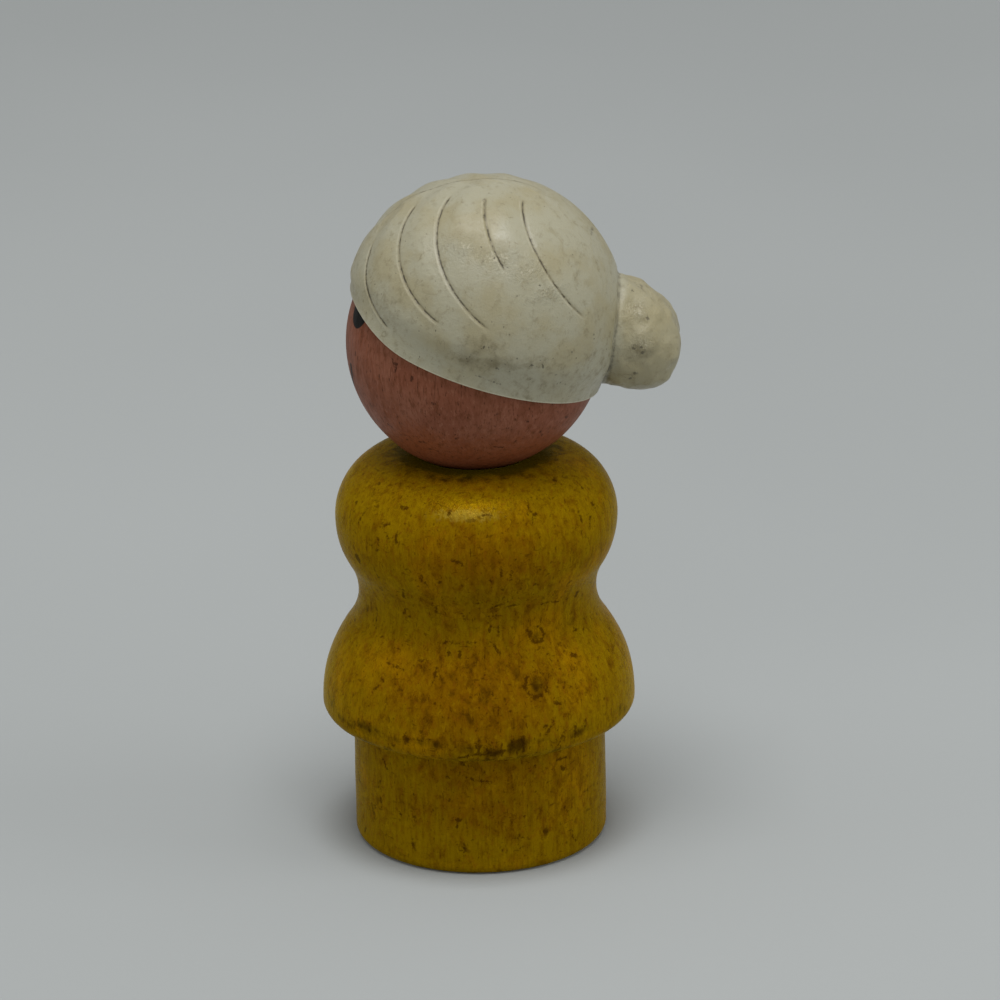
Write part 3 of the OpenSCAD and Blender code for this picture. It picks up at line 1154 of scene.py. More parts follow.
@dataclass
class BallHead:
    """The head: a turned ball, drilled below for the dowel and at the crown for the hair's plug."""

    centre_z: float
    radius: float = 11.1
    dowel_hole_r: float = 3.23
    dowel_hole_depth: float = 8.4
    plug_hole_r: float = 3.05
    plug_hole_depth: float = 5.4
    fine: float = 0.16
    coarse: float = 1.6
    columns: int = 420
    unevenness: float = 0.03
    # How far the mean of the unevenness lies inside the ball, and how far the ball leans to the nape
    inward: float = 0.9
    lean: float = 0.15
    # Heights, as shares of the radius, between which both set in, above the seat and below the crown
    seat_free: tuple = (-0.82, -0.7)
    crown_free: tuple = (0.9, 0.6)
    # The eyes: angle from the middle of the face, elevation, radius in mm
    eye: tuple = (20.5, 21.8, 1.6)
    # The smile: elevation of its circle's centre, radius in mm, width of the stroke
    smile: tuple = (-4.2, 3.15, 0.55)
    # Nicks: angle round from +X and elevation of both ends, half width in mm
    nicks: tuple = (
        (-37, 6, -37, 1, 0.05),
        (-39, 8, -38, 3, 0.03),
        (-36, 5, -36, 2, 0.03),
        (-28, 1, -28, -1, 0.1),
        (-66, 3, -66, 2, 0.12),
        (62, -14, 63, -15, 0.1),
        (-32, -10, -32, -10, 0.08),
        (-19, -11, -18, -11, 0.06),
        (26, -19, 26, -22, 0.06),
        (-44, -33, -31, -32, 0.02),
        (-40, -36, -28, -35, 0.02),
        (3, -21, 7, -21, 0.04),
        (-52, -28, -46, -30, 0.04),
        (-30, -40, -22, -41, 0.05),
        (-10, -30, -8, -30, 0.08),
        (10, -36, 16, -37, 0.04),
        (35, -30, 38, -33, 0.06),
        (50, -25, 52, -26, 0.08),
    )
    strays: Strays = Strays(60, 11, (75, 285), (-45, 12), turn=2, rise=4)
    # Strength of the dirt and painted shade low down, and the elevations between which they set in
    dirt_and_shade_low: float = 0.9
    dirt_and_shade_low_reach: tuple = (-14, -50)
    # Strength of the dirt in patches, and the unevenness between which it sets in
    dirt_patch: float = 0.3
    dirt_patch_reach: tuple = (0.2, 0.8)

    def outline(self) -> Array:
        """The half outline, from the end of the dowel's hole over the ball to the end of the plug's hole.

        Returns:
            Points (r, z) in millimetres.
        """
        low = math.degrees(math.acos(self.dowel_hole_r / self.radius))
        high = math.degrees(math.acos(self.plug_hole_r / self.radius))
        ball = arc((0, self.centre_z), self.radius, -low, high, self.fine)
        dowel_end = self.centre_z - self.radius + self.dowel_hole_depth
        plug_end = self.centre_z + self.radius - self.plug_hole_depth
        return np.concatenate(
            [
                [(self.dowel_hole_r, dowel_end)],
                line((self.dowel_hole_r, dowel_end), ball[0], self.coarse),
                ball,
                line(ball[-1], (self.plug_hole_r, plug_end), self.coarse),
                [(self.plug_hole_r, plug_end)],
            ]
        )

    def reach(self, out: Array) -> Array:
        """The ball's radius in a direction: a slow unevenness and a slight lean towards the nape.

        Both fade out low down, where the ball sits in the body, and towards the crown.

        Args:
            out: Unit vectors from the ball's centre.

        Returns:
            The radius in millimetres.
        """
        free = smooth_step(out[..., 2], *self.seat_free) * smooth_step(out[..., 2], *self.crown_free)
        uneven = self.unevenness * (lumps(out * self.radius, size=12, seed=5) - self.inward)
        return self.radius + free * (uneven + self.lean * out[..., 1])

    def face_paint(self, angle: Array, elevation: Array) -> Array:
        """Distance in millimetres from the nearest painted edge, below zero inside the paint.

        An eye is a round dot, and the smile is the lower half of a ring. Both are drawn in (across, up),
        the angles times the ball's radius.

        Args:
            angle: The angle from the middle of the face, in degrees.
            elevation: The elevation in degrees.

        Returns:
            An array of distances.
        """
        scale = math.radians(1) * self.radius
        eye_angle, eye_up, eye_r = self.eye
        across = (np.abs(angle) - eye_angle) * scale * np.cos(np.radians(elevation))
        eye = np.hypot(across, (elevation - eye_up) * scale) - eye_r
        smile_up, smile_r, stroke = self.smile
        rise = (elevation - smile_up) * scale
        ring = np.abs(np.hypot(angle * scale, rise) - smile_r) - stroke / 2
        return np.clip(np.minimum(eye, np.maximum(ring, rise)), -FAR, FAR)

    def nick_gap(self, out: Array) -> Array:
        """Distance from the nearest nick in the paint: the listed ones and stray ones.

        Args:
            out: Unit vectors from the ball's centre.

        Returns:
            An array of distances in millimetres.
        """
        drawn = np.concatenate([np.array(self.nicks), self.strays.strewn()])
        starts = self.radius * on_ball(drawn[:, 0], drawn[:, 1])
        ends = self.radius * on_ball(drawn[:, 2], drawn[:, 3])
        return stroke_gap(self.radius * out, starts, ends, drawn[:, 4])

    def build(self) -> bpy.types.Object:
        """Turns the ball, true in its holes and as far out as it reaches elsewhere.

        Returns:
            The piece.
        """
        outline = self.outline()
        grid = revolve(outline, self.columns)
        from_centre = grid - np.array([0, 0, self.centre_z])
        distance = np.linalg.norm(from_centre, axis=-1)
        out = from_centre / distance[..., None]
        elevation = np.degrees(np.arcsin(np.clip(out[..., 2], -1, 1)))
        from_face = np.degrees(np.arctan2(out[..., 0], -out[..., 1]))
        lift = np.where(distance > self.radius - TINY, self.reach(out) - self.radius, 0)
        patches = smooth_step(lumps(grid, size=7, seed=6), *self.dirt_patch_reach)
        # Dirt and painted shade low down, and dirt in patches
        grime = self.dirt_and_shade_low * smooth_step(elevation, *self.dirt_and_shade_low_reach) + self.dirt_patch * patches
        return closed_piece(
            "ball_head",
            grid + out * lift[..., None],
            np.array([[0, 0, outline[0, 1]], [0, 0, outline[-1, 1]]]),
            paint_mm=self.face_paint(from_face, elevation),
            nick_mm=self.nick_gap(out),
            grime=grime,
        )


@dataclass(frozen=True)
class LockLine:
    """An incised line: an arc of a circle on the cap, and its mirror image on the other side.

    Attributes:
        turn: Where the circle's axis points, in degrees round from +X.
        up: How far the axis points up, in degrees.
        cone: The angle between the axis and the circle, in degrees.
        start: Where the arc starts round the axis, in degrees from its lowest point.
        end: Where the arc ends.
    """

    turn: float
    up: float
    cone: float
    start: float
    end: float

    def measure(self, out: Array, radius: float) -> tuple[Array, Array, Array]:
        """How far points of the cap lie from the line, and from its upper and its lower end.

        The distance is the angle from the axis less the cone's, times the radius, and the ends are
        measured along the circle.

        Args:
            out: Unit vectors from the cap's centre.
            radius: The cap's radius in millimetres.

        Returns:
            The signed distance, and the lengths past the upper end and before the lower one, all in
            millimetres.
        """
        axis = on_ball(self.turn, self.up)
        downhill = on_ball(self.turn, self.up - 90)
        aside = on_ball(self.turn + 90, 0)
        folded = np.concatenate([np.abs(out[..., :1]), out[..., 1:]], axis=-1)
        gap = np.arccos(np.clip(folded @ axis, -1, 1)) - math.radians(self.cone)
        around = np.degrees(np.arctan2(folded @ aside, folded @ downhill))
        per_degree = math.radians(1) * radius * math.sin(math.radians(self.cone))
        return gap * radius, (around - self.start) * per_degree, (self.end - around) * per_degree


@dataclass
class HairCap:
    """The moulded hair: a thin dome with a bun, incised lines, a rolled rim and a plug for the crown."""

    head: BallHead
    wall: float = 1.0
    back: float = 1.0
    rise: float = 2.35
    temple_forward: float = 7.2
    temple_rise: float = 1.9
    temple_blend: float = 1.1
    front_slope: float = 42
    nape_slope: float = 18.5
    gap: float = 0.05
    plug_r: float = 3.0
    plug_len: float = 5.0
    bun_rise: float = 1.63
    bun_tilt: float = 15.5
    bun_r: float = 4.88
    bun_from: float = 10.6
    bun_tip: float = 17.45
    bun_full_above: float = 2.0
    bun_full_below: float = 4.5
    # Unevenness of the dome and dents of the bun, the share of the quick ones, and how far the mean of
    # each lies inside the smooth shape
    unevenness: float = 0.04
    bun_dents: float = 0.18
    quick_share: float = 0.4
    inward: float = 0.8
    # Heights above the hairline and distances from the crease over which unevenness, swell and dents set in
    uneven_from_rim: float = 2
    swell_from_crease: float = 1.5
    dents_from_crease: float = 1
    # Where on the bun's axis its dents point to
    bun_heart: float = 11.6
    # An incised line: half width, depth, the lip beside it, and the heights above the rim where it sets in
    line_w: float = 0.12
    line_depth: float = 0.1
    lip_height: float = 0.012
    lip_at: float = 0.36
    lip_w: float = 0.2
    line_foot: tuple = (0.1, 0.9)
    # Distances between which a line's depth sets in: from beside it, past its top and before its end
    line_side: tuple = (1.2, 0.7)
    line_top: tuple = (-0.8, 0.7)
    line_end: tuple = (-0.7, 0.5)
    # Valley round a line: half width, how far above the line it starts, and where it ends
    valley_w: float = 1.1
    valley_reach: float = 5.0
    valley_end: tuple = (-1, 3)
    # The parting: both ends in degrees, depth and valley beside those of a line, and where they set in
    parting_start: float = 42
    parting_end: float = 118
    parting_depth: float = 0.7
    parting_fade: tuple = (-1, 2)
    parting_valley: float = 0.8
    parting_valley_w: float = 0.9
    parting_valley_fade: tuple = (0, 7)
    # Swell of the locks, what is left of it at the back, and where it sets in upwards and forwards, as
    # shares of the radius
    lock_swell: float = 0.2
    swell_heights: tuple = (0.25, 0.75)
    swell_behind: float = 0.45
    swell_back: tuple = (0.5, -0.4)
    # The rim: its wall, its roll, how far up the cap thins towards it, and where front and forehead set
    # in forwards, as shares of the distance from the ball's centre
    rim_wall_front: float = 0.68
    rim_wall_back: float = 0.35
    lip_roll: float = 0.25
    thin_over: float = 3.2
    thin_over_forehead: float = 1.4
    front_reach: tuple = (-0.3, -0.8)
    forehead_reach: tuple = (-0.7, -0.86)
    # How much nearer the hairline is across its slope than straight down
    across_slope: float = 0.85
    crease_w: float = 0.4
    crease_depth: float = 0.14
    # Dirt in the crease and the blend of the bun's yellow: how far from the crease
    crease_dirt_w: float = 0.3
    bun_blend: float = 1.2
    # The pale rim: how far up it is pale, how far up the painted highlight along its edge reaches, and the
    # heights between which the nape turns pale
    pale_w: float = 0.5
    highlight_w: float = 0.12
    nape_pale: tuple = (-0.9, -2.2)
    # Least soil and least rubbing of the bun and of the dome, whose soil sets in downwards
    bun_soil: float = 0.1
    dome_soil: float = 0.4
    dome_soil_heights: tuple = (4, -4)
    bun_rubbed: float = 0.3
    dome_rubbed: float = 0.15
    columns: int = 330
    # How much closer the columns are at the parting, and over what angle in radians
    crowding: float = 5
    crowd_w: float = 0.12
    bun_rows: int = 62
    dome_rows: int = 172
    lip_rows: int = 11
    inside_rows: int = 24
    plug_rows: int = 5
    lock_lines: tuple = (
        LockLine(-15, 47, 45.5, -99, -43),
        LockLine(17.5, 50.5, 47, -136, -54),
        LockLine(41.5, 44.5, 47, -154, -61),
        LockLine(66, 40, 43.5, -156, -103),
        LockLine(75, 35, 36, -160, -58),
    )
    # Scratches and pits from the side: how far back and up from the cap's centre both ends are, half width
    pits: tuple = (
        (-8.1, 0.1, -8.2, -0.8, 0.02),
        (-0.9, -1.5, 1.3, -2.5, 0.0),
        (-1.3, -0.3, -1.2, -0.4, 0.06),
        (-0.8, 1.4, -0.8, 1.3, 0.04),
        (1.7, 5.2, 3.2, 5.0, 0.0),
        (0.1, 11.4, 0.1, 11.2, 0.06),
        (0.1, 10.7, 0.2, 10.4, 0.06),
        (9.2, 7.8, 9.3, 7.7, 0.06),
        (12.6, -1.6, 12.7, -1.6, 0.1),
        (13.2, -1.6, 13.3, -1.6, 0.1),
        (13.4, -2.1, 13.6, -2.0, 0.14),
        (13.5, -0.9, 13.5, -1.2, 0.06),
        (13.8, 0.9, 13.9, 0.4, 0.07),
        (16.4, -0.3, 16.4, -0.4, 0.12),
        (12.5, 2.6, 12.6, 2.6, 0.08),
        (13.4, 2.5, 13.5, 2.5, 0.06),
        (12.7, -4.1, 12.9, -4.1, 0.1),
        (12.3, -4.6, 12.4, -4.6, 0.08),
        (5.3, 5.2, 5.5, 5.1, 0.02),
        (4.7, 5.6, 5.0, 5.5, 0.02),
        (10.8, -2.2, 11.2, -1.9, 0.04),
    )
    # Places rubbed rough and painted with a pale highlight, seen the same way: backwards, up, half width,
    # half height, strength
    rubbed: tuple = (
        (-1.5, 8.7, 2.2, 1.0, 1.0),
        (1.2, 7.9, 2.4, 1.0, 1.1),
        (3.6, 6.8, 2.0, 0.9, 1.0),
        (5.5, 5.0, 1.6, 0.8, 0.9),
        (13.1, 1.2, 1.1, 1.0, 1.1),
        (13.4, -1.4, 1.4, 1.2, 0.95),
    )
    # Soiled places, seen the same way: backwards, up, half width, half height, strength
    soiled: tuple = (
        (2.0, -0.5, 5.0, 1.0, 0.6),
        (-1.3, -0.2, 1.2, 0.7, 0.95),
        (0.9, -0.4, 1.5, 0.8, 0.95),
        (3.8, -0.8, 1.8, 0.5, 0.8),
        (-0.5, 1.0, 2.4, 1.2, 0.65),
        (-8.0, 3.5, 2.8, 4.5, 0.4),
        (7.9, 6.6, 1.2, 1.4, 0.4),
        (9.5, 2.5, 1.0, 1.4, 0.4),
        (13.3, -2.2, 1.3, 0.8, 0.7),
        (15.7, -2.8, 0.6, 1.1, 0.6),
        (12.9, -4.3, 1.2, 0.7, 0.15),
    )
    # How far those of the doll's right side lie from their places on the left
    other_side: tuple = (1.7, 1.1)

    def __post_init__(self) -> None:
        """Works out the cap's sphere, the bun's axis and the angles of the columns."""
        self.ball_c = np.array([0, 0, self.head.centre_z])
        self.centre = self.ball_c + np.array([0, self.back, self.rise])
        self.radius = self.head.radius + self.wall
        tilt = math.radians(self.bun_tilt)
        self.bun_axis = np.array([0, math.cos(tilt), -math.sin(tilt)])
        self.bun_up = np.array([0, math.sin(tilt), math.cos(tilt)])
        self.bun_c = self.centre + np.array([0, 0, self.bun_rise])
        self.turn = self.column_angles()

    def column_angles(self) -> Array:
        """Angles of the columns round the bun's axis, from the top, closer together near the parting.

        The density of the columns is 1 plus a bell curve of the angle, and the angles are where its
        running total reaches equal shares.

        Returns:
            One angle per column, in radians.
        """
        samples = 4001
        angle = np.linspace(-np.pi, np.pi, samples)
        total = np.cumsum(1 + self.crowding * bell(angle, self.crowd_w))
        share = np.linspace(total[0], total[-1], self.columns, endpoint=False)
        return np.interp(share, total, angle)

    def hairline_height(self, y: Array) -> Array:
        """Height of the hairline above the ball's centre, seen from the side.

        It is the upper envelope of two straight slopes, blended where they meet: half the sum of their
        heights plus half the root of their squared difference and a blend.

        Args:
            y: How far back from the ball's centre.

        Returns:
            Heights in millimetres.
        """
        behind = y + self.temple_forward
        front = self.temple_rise - math.tan(math.radians(self.front_slope)) * behind
        nape = self.temple_rise - math.tan(math.radians(self.nape_slope)) * behind
        return (front + nape + np.sqrt(np.square(front - nape) + self.temple_blend**2)) / 2

    def hairline(self) -> Array:
        """The rim of the cap, one point per column, from the forehead round to the nape.

        Its sideways place is where the hairline's height meets the cap's sphere.

        Returns:
            Points in millimetres.
        """

        def half_width_squared(y: Array) -> Array:
            """Square of the sphere's half width where the hairline passes."""
            up = self.hairline_height(y) - self.rise
            return self.radius**2 - np.square(y - self.back) - np.square(up)

        samples = 20001
        tried = np.linspace(-self.radius, self.radius + self.back, samples)
        reached = tried[half_width_squared(tried) > 0]
        y = reached[0] + (reached[-1] - reached[0]) * (1 - np.cos(self.turn)) / 2
        x = np.sign(self.turn) * np.sqrt(np.maximum(half_width_squared(y), 0))
        return self.ball_c + np.stack([x, y, self.hairline_height(y)], axis=-1)

    def bun_points(self, share: Array) -> Array:
        """Points of the bun, a superellipse carried round its axis.

        At a share a of a quarter turn, the length along the axis is the bun's times sin a to the power
        2 / n, and the radius is the bun's times cos a to the same power. The fullness n runs from round
        above to square below.

        Args:
            share: The angle a in radians, rows by columns.

        Returns:
            Points in millimetres.
        """
        mean = (self.bun_full_below + self.bun_full_above) / 2
        half = (self.bun_full_below - self.bun_full_above) / 2
        power = 2 / (mean - half * np.cos(self.turn))
        along = self.bun_from + (self.bun_tip - self.bun_from) * np.sin(share) ** power
        r = self.bun_r * np.cos(share) ** power
        side = np.array([1, 0, 0])
        aside = np.cos(self.turn)[:, None] * self.bun_up + np.sin(self.turn)[:, None] * side
        return self.bun_c + along[..., None] * self.bun_axis + r[..., None] * aside

    def crease_angle(self) -> Array:
        """The angle a at which each column of the bun leaves the dome, by halving the interval.

        Returns:
            One angle per column, in radians.
        """
        halvings = 40
        low, high = np.zeros(self.columns), np.full(self.columns, np.pi / 2)
        for _ in range(halvings):
            middle = (low + high) / 2
            outside = np.linalg.norm(self.bun_points(middle) - self.centre, axis=-1) > self.radius
            low, high = np.where(outside, low, middle), np.where(outside, middle, high)
        return low

    def dome_points(self, crease: Array, rim: Array) -> Array:
        """Points of the dome on great circles from the crease round the bun to the hairline.

        A point at a share w of the way is (sin((1 - w) b) k + sin(w b) m) / sin b, where k and m are the
        unit vectors to the two ends and b is the angle between them.

        Args:
            crease: The column's ends on the bun.
            rim: The column's ends on the hairline.

        Returns:
            Points in millimetres, rows by columns.
        """
        k = (crease - self.centre) / self.radius
        m = (rim - self.centre) / self.radius
        b = np.arccos(np.clip((k * m).sum(axis=-1), -1, 1))
        w = np.linspace(0, 1, self.dome_rows + 1)[1:, None]
        near, far = np.sin((1 - w) * b) / np.sin(b), np.sin(w * b) / np.sin(b)
        return self.centre + self.radius * (near[..., None] * k + far[..., None] * m)

    def inside(self, rim: Array, before: Array) -> Array:
        """The rolled rim, the hollow that fits the ball, and the plug.

        The rim is half an ellipse from the dome's edge to the hollow, standing out along the dome's own
        direction there. The hollow is a sphere round the ball's centre, on meridians of the upright axis.

        Args:
            rim: The dome's edge.
            before: The row of the dome before it.

        Returns:
            Points in millimetres, rows by columns.
        """
        hollow = self.head.radius + self.gap
        toward, onward = unit(rim - self.ball_c), unit(rim - before)
        end = self.ball_c + toward * (self.head.reach(toward) + self.gap)[:, None]
        a = np.linspace(0, np.pi, self.lip_rows + 1)[1:, None, None]
        half = np.linalg.norm(rim - end, axis=-1, keepdims=True) / 2
        lip = (rim + end) / 2 + (rim - end) / 2 * np.cos(a) + onward * half * self.lip_roll * np.sin(a)
        azimuth = np.arctan2(toward[:, 1], toward[:, 0])
        plug_up = math.acos(self.plug_r / hollow)
        low = np.arcsin(np.clip(toward[:, 2], -1, 1))
        up = low + (plug_up - low) * np.linspace(0, 1, self.inside_rows + 1)[1:, None]
        facing = on_ball(np.degrees(azimuth), np.degrees(up))
        sphere = facing * (self.head.reach(facing) + self.gap)[..., None]
        plug_top, plug_end = hollow * math.sin(plug_up), self.head.radius - self.plug_len
        drop = np.linspace(plug_top, plug_end, self.plug_rows + 1)[1:]
        circle = self.plug_r * np.stack([np.cos(azimuth), np.sin(azimuth), np.zeros(self.columns)], axis=-1)
        plug = circle + drop[:, None, None] * np.array([0, 0, 1])
        return np.concatenate([lip, self.ball_c + sphere, self.ball_c + plug])

    def lines(self, out: Array) -> tuple[Array, Array, Array]:
        """Distance from the nearest incised line, how deep it is cut there, and the valley round it.

        The depth is 1 along a line, less along the parting, and fades past the ends and beside them. The
        valley is a wide bell curve of the distance, which runs on past a line's upper end towards the
        parting.

        Args:
            out: Unit vectors from the cap's centre.

        Returns:
            The signed distance in millimetres, and the depth and the valley from 0 to 1.
        """
        along = np.degrees(np.arctan2(out[..., 2], -out[..., 1]))
        inside = np.minimum(along - self.parting_start, self.parting_end - along)
        into = inside * math.radians(1) * self.radius
        distance = out[..., 0] * self.radius
        depth = self.parting_depth * smooth_step(into, *self.parting_fade)
        depth *= smooth_step(np.abs(distance), *self.line_side)
        valley = self.parting_valley * smooth_step(into, *self.parting_valley_fade)
        valley *= bell(distance, self.parting_valley_w)
        for lock in self.lock_lines:
            gap, past_top, before_end = lock.measure(out, self.radius)
            cut = smooth_step(past_top, *self.line_top) * smooth_step(before_end, *self.line_end)
            cut *= smooth_step(np.abs(gap), *self.line_side)
            distance, depth = np.where(cut > depth, gap, distance), np.maximum(cut, depth)
            run = smooth_step(past_top, -self.valley_reach, 1 - self.valley_reach)
            run *= smooth_step(before_end, *self.valley_end)
            valley = np.maximum(valley, run * bell(gap, self.valley_w))
        return np.clip(distance, -FAR, FAR), depth, valley

    def thinned(self, points: Array, above: Array) -> Array:
        """Draws the dome in towards the ball near its edge, where the moulding runs out thin.

        The wall left at the edge is thicker in front, and the thinning reaches less far up over the
        forehead. From the edge up, the distance from the ball's centre goes to the dome's by a soft step.

        Args:
            points: Points of the dome.
            above: How far they lie above the hairline.

        Returns:
            Points in millimetres.
        """
        out = points - self.ball_c
        far = np.linalg.norm(out, axis=-1)
        out = out / far[..., None]
        front = smooth_step(out[..., 1], *self.front_reach)
        forehead = smooth_step(out[..., 1], *self.forehead_reach)
        wall = self.rim_wall_back + (self.rim_wall_front - self.rim_wall_back) * front
        edge = self.head.reach(out) + wall
        over = self.thin_over + (self.thin_over_forehead - self.thin_over) * forehead
        return self.ball_c + out * (edge + (far - edge) * smooth_step(above / over, 0, 1))[..., None]

    def wear(self, points: Array) -> tuple[Array, Array, Array]:
        """Distance from the nearest pit or scratch, how soiled the plastic is, and how rubbed it is, with
        painted highlights at the rubbed places.

        All are drawn as seen from the side, on the doll's left as listed and on its right moved a little.
        A soiled or rubbed place is its strength times a bell curve along it and one up it.

        Args:
            points: Points of the dome and the bun.

        Returns:
            The distance in millimetres, below zero inside a pit, and the other two from 0 to about 1.
        """
        moved = np.where(points[..., :1] > 0, 0, np.array(self.other_side))
        flat = points[..., 1:] - self.centre[1:] + moved
        drawn = np.array(self.pits)
        pit = stroke_gap(flat, drawn[:, :2], drawn[:, 2:4], drawn[:, 4])
        y, z = flat[..., :1], flat[..., 1:]

        def strongest(places: tuple) -> Array:
            """The strongest of the places at each point."""
            back, up, wide, tall, strength = np.array(places).T
            return (strength * bell(y - back, wide) * bell(z - up, tall)).max(axis=-1)

        return pit, strongest(self.soiled), strongest(self.rubbed)

    def build(self) -> bpy.types.Object:
        """Joins bun, dome, rim, hollow and plug into one closed grid and cuts the lines into it.

        Points of the dome sink along its radius by a bell curve of the distance from a line, with a low
        lip beside it, rise between the lines, and sink, as those of the bun do, at the crease between them.
        A slow and a quick unevenness dent the bun.

        Returns:
            The piece.
        """
        leave = self.crease_angle()
        tip_to_crease = np.linspace(0, 1, self.bun_rows + 1)[1:, None]
        bun = self.bun_points(np.pi / 2 + (leave - np.pi / 2) * tip_to_crease)
        crease, rim = bun[-1], self.hairline()
        dome = self.dome_points(crease, rim)
        out = (dome - self.centre) / self.radius
        height = out[..., 2] * self.radius
        from_crease = np.linalg.norm(dome - crease, axis=-1)
        from_dome = np.linalg.norm(bun - crease, axis=-1)
        above = self.across_slope * (dome[..., 2] - self.ball_c[2] - self.hairline_height(dome[..., 1]))
        distance, depth, valley = self.lines(out)
        groove = -self.line_depth * bell(distance, self.line_w)
        groove += self.lip_height * bell(distance - self.lip_at, self.lip_w)
        groove *= depth * smooth_step(above, *self.line_foot)
        high = self.swell_behind + (1 - self.swell_behind) * smooth_step(out[..., 1], *self.swell_back)
        high *= smooth_step(out[..., 2], *self.swell_heights)
        uneven = self.unevenness * (lumps(dome, size=8, seed=8) - self.inward)
        swell = self.lock_swell * high * (1 - valley) + uneven * smooth_step(above, 0, self.uneven_from_rim)
        swell *= smooth_step(from_crease, 0, self.swell_from_crease)
        lift = groove + swell - self.crease_depth * bell(from_crease, self.crease_w)
        dome = self.thinned(dome + out * lift[..., None], above)
        bun_out = unit(bun - self.bun_c - self.bun_heart * self.bun_axis)
        slow, quick = lumps(bun, size=3.4, seed=9), lumps(bun, size=1.5, seed=10)
        dents = self.bun_dents * (slow + self.quick_share * quick - self.inward)
        dents *= smooth_step(from_dome, 0, self.dents_from_crease)
        dents -= self.crease_depth * bell(from_dome, self.crease_w)
        bun = bun + bun_out * dents[..., None]
        inside = self.inside(dome[-1], dome[-2])
        pale = np.maximum(bell(above, self.pale_w), smooth_step(height, *self.nape_pale))
        bun_pit, bun_soil, bun_rubbed = self.wear(bun)
        dome_pit, dome_soil, dome_rubbed = self.wear(dome)
        least_soil = self.dome_soil * smooth_step(height, *self.dome_soil_heights)

        def layer(on_bun: Array | float, on_dome: Array | float, on_inside: float) -> Array:
            """One value per point, part after part."""
            parts = zip((on_bun, on_dome, on_inside), (bun, dome, inside))
            return np.concatenate([np.broadcast_to(value, part.shape[:2]) for value, part in parts])

        return closed_piece(
            "hair_cap_moulding",
            np.concatenate([bun, dome, inside]),
            np.array([self.bun_c + self.bun_tip * self.bun_axis, inside[-1].mean(axis=0)]),
            line_mm=layer(FAR, distance, FAR),
            line_depth=layer(0, depth, 0),
            crease=layer(bell(from_dome, self.crease_dirt_w), bell(from_crease, self.crease_dirt_w), 0),
            # The rim's layer: its pale band, plus a painted highlight along its edge
            rim=layer(0, pale + bell(above, self.highlight_w), 1),
            bun=layer(smooth_step(from_dome, 0, self.bun_blend), 0, 0),
            soil=layer(np.maximum(bun_soil, self.bun_soil), np.maximum(dome_soil, least_soil), 0),
            mark_mm=layer(bun_pit, dome_pit, FAR),
            rubbed=layer(
                np.maximum(bun_rubbed, self.bun_rubbed), np.maximum(dome_rubbed, self.dome_rubbed), 0
            ),
        )


@dataclass
class PegDoll:
    """The whole doll: each new piece stands for its solid and moves with that solid's body."""

    body: TurnedBody = field(default_factory=TurnedBody)

    def __post_init__(self) -> None:
        """Sets the head on the body and the hair on the head."""
        self.head = BallHead(centre_z=self.body.seat_z)
        self.hair = HairCap(self.head)

    def dress(
        self,
        piece: bpy.types.Object,
        material: bpy.types.Material,
        rider: Rider,
        node: str,
        slot: Slot,
    ) -> None:
        """Gives a new piece its finish and its body, and hides the solid that it stands for.

        Args:
            piece: The new piece.
            material: Its finish.
            rider: The body that it moves with.
            node: The solid that it stands for.
            slot: Not used.
        """
        piece.data.materials.append(material)
        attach(piece, rider.value)
        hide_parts(node)
        log.info("%s: %d points, stands for %s", piece.name, len(piece.data.vertices), node)

    def build(self) -> None:
        """Builds and dresses the pieces, and gives the dowel its wood."""
        self.dress(self.body.build(), VarnishedMaple().material(), Rider.BODY, "body", Slot.BODY)
        self.dress(self.head.build(), FleshPaint().material(), Rider.HEAD, "head", Slot.HEAD)
        self.dress(self.hair.build(), IvoryPlastic().material(), Rider.HEAD, "hair_cap", Slot.HAIR)
        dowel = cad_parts["neck_dowel"]
        dowel.data.materials.clear()
        dowel.data.materials.append(BareMaple().material())
        log.info("%s: solid kept, bare wood", dowel.name)


# Stage


@dataclass
class Lamp:
    """A square soft lamp that points at the middle of the floor.

    Attributes:
        name: The lamp's name.
        place: Where it hangs, in metres.
        size: The length of its sides in metres.
        power: Its power in watts.
        in_gloss: Whether glossy surfaces mirror it.
    """

    name: str
    place: tuple
    size: float
    power: float
    in_gloss: bool = False

    def build(self) -> None:
        """Hangs the lamp."""
        light = bpy.data.lights.new(self.name, "AREA")
        light.shape = "SQUARE"
        light.size = self.size
        light.energy = self.power
        hung = bpy.data.objects.new(self.name, light)
        hung.location = self.place
        hung.visible_glossy = self.in_gloss
        hung.rotation_mode = "QUATERNION"
        hung.rotation_quaternion = (-Vector(self.place)).to_track_quat("-Z", "Y")
        bpy.context.scene.collection.objects.link(hung)
        log.info("%s: %.2f W", self.name, self.power)


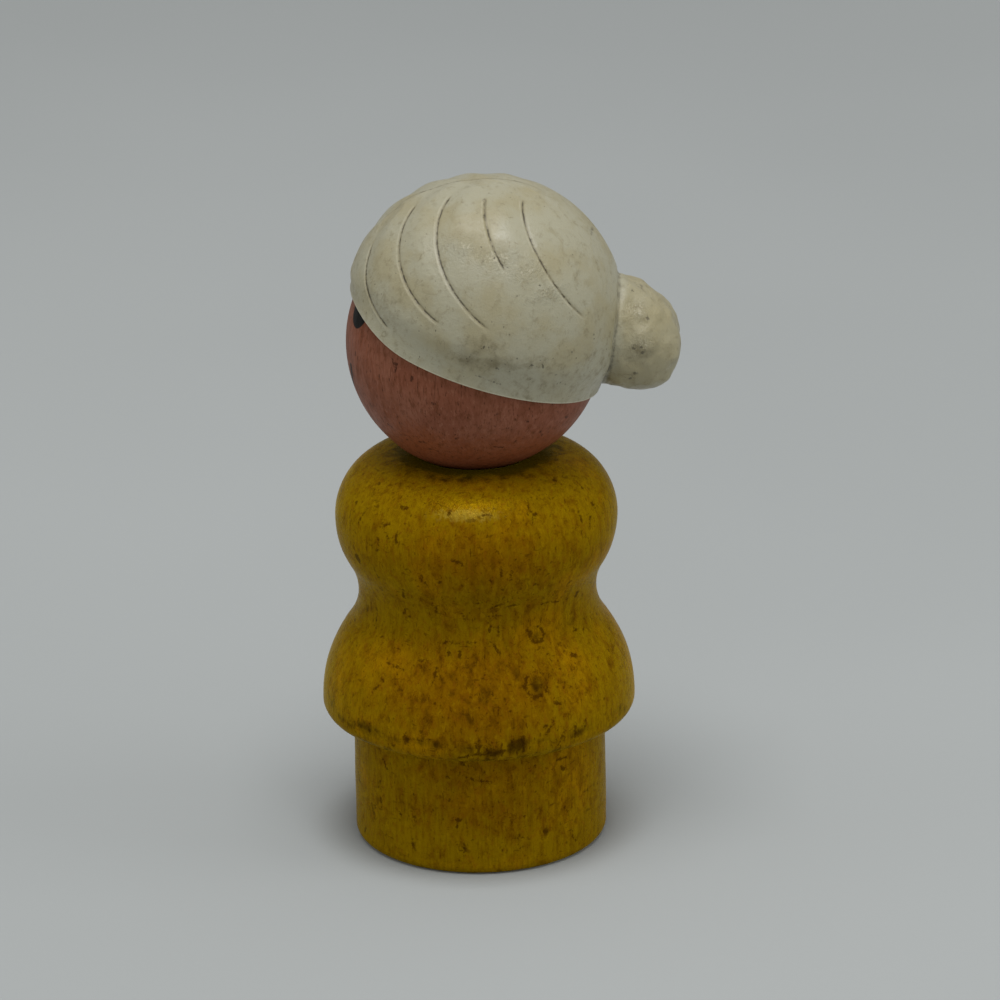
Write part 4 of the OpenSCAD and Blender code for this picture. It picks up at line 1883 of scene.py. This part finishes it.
@dataclass
class Studio:
    """A round sweep of pale card, a soft lamp overhead, weak ones low on three sides and an even sky."""

    bend_at: float = 1.2
    bend_r: float = 0.3
    bend_step: float = 0.02
    wall: float = 0.35
    columns: int = 120
    lamps: tuple = (
        Lamp("soft_lamp", (0.13, 0.0, 0.66), 0.3, 2.7, in_gloss=True),
        Lamp("right_fill", (0.15, 1.0, 0.34), 0.5, 2.3),
        Lamp("left_fill", (0.15, -1.0, 0.34), 0.5, 1.0),
        Lamp("front_fill", (1.0, -0.1, 0.34), 0.5, 0.8),
    )
    sky: str = "#9c9c9b"
    sky_strength: float = 1.26

    def sweep(self) -> bpy.types.Object:
        """The floor, which bends up into a wall all round: an outline in r and z turned round the axis.

        The floor starts a millimetre from the axis, under the doll.

        Returns:
            The stage's object.
        """
        bend = arc((self.bend_at, self.bend_r), self.bend_r, 270, 360, self.bend_step)
        outline = np.concatenate([[(MM, 0)], bend, [(self.bend_at + self.bend_r, self.wall)]])
        points = revolve(outline, self.columns)
        index = np.arange(len(outline) * self.columns).reshape(-1, self.columns)
        right = np.roll(index, -1, axis=1)
        faces = np.stack([index[:-1], index[1:], right[1:], right[:-1]], axis=-1).reshape(-1, 4)
        mesh = bpy.data.meshes.new("card_sweep")
        mesh.from_pydata(points.reshape(-1, 3).tolist(), [], faces.tolist())
        mesh.shade_smooth()
        mesh.materials.append(MattCard().material())
        card = bpy.data.objects.new("card_sweep", mesh)
        bpy.context.scene.collection.objects.link(card)
        return card

    def build(self) -> None:
        """Lays the card, hangs the lamps and sets the sky."""
        self.sweep()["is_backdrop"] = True
        for lamp in self.lamps:
            lamp.build()
        world = bpy.data.worlds.new("even_sky")
        world.use_nodes = True
        background = world.node_tree.nodes["Background"]
        background.inputs["Color"].default_value = rgba(self.sky)
        background.inputs["Strength"].default_value = self.sky_strength
        bpy.context.scene.world = world


@dataclass
class PhotoCamera:
    """A camera at the photograph's viewing angle: a long lens, looking down at the doll's left side."""

    lens: float = 180
    sensor: float = 36
    distance: float = 0.4342
    pitch: float = 20.168
    roll: float = -0.876
    near: float = 0.01
    target: tuple = (0, 0.00209, 0.03064)

    def build(self) -> None:
        """Makes the camera and hands it to the scene."""
        data = bpy.data.cameras.new("photo_camera")
        data.lens = self.lens
        data.sensor_width = self.sensor
        data.clip_start = self.near
        pitch = math.radians(self.pitch)
        look = Vector((-math.cos(pitch), 0, -math.sin(pitch)))
        camera = bpy.data.objects.new("photo_camera", data)
        camera.location = Vector(self.target) - look * self.distance
        camera.rotation_mode = "QUATERNION"
        level = look.to_track_quat("-Z", "Y")
        camera.rotation_quaternion = level @ Quaternion((0, 0, 1), math.radians(self.roll))
        bpy.context.scene.collection.objects.link(camera)
        bpy.context.scene.camera = camera


def write_sizes() -> None:
    """Works out the box of the solids and the box of the dressed doll, and does nothing with them."""
    boxes = {"cad": cad_box, "visual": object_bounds()}
    {name: [list(corner) for corner in box] for name, box in boxes.items()}


def main() -> None:
    """Builds the doll, the stage and the camera."""
    logging.basicConfig(level=logging.INFO, format="%(name)s: %(message)s")
    bpy.context.scene.view_settings.view_transform = "Standard"
    PhotoCamera().build()
    PegDoll().build()
    Studio().build()
    write_sizes()


if __name__ == "__main__":
    main()
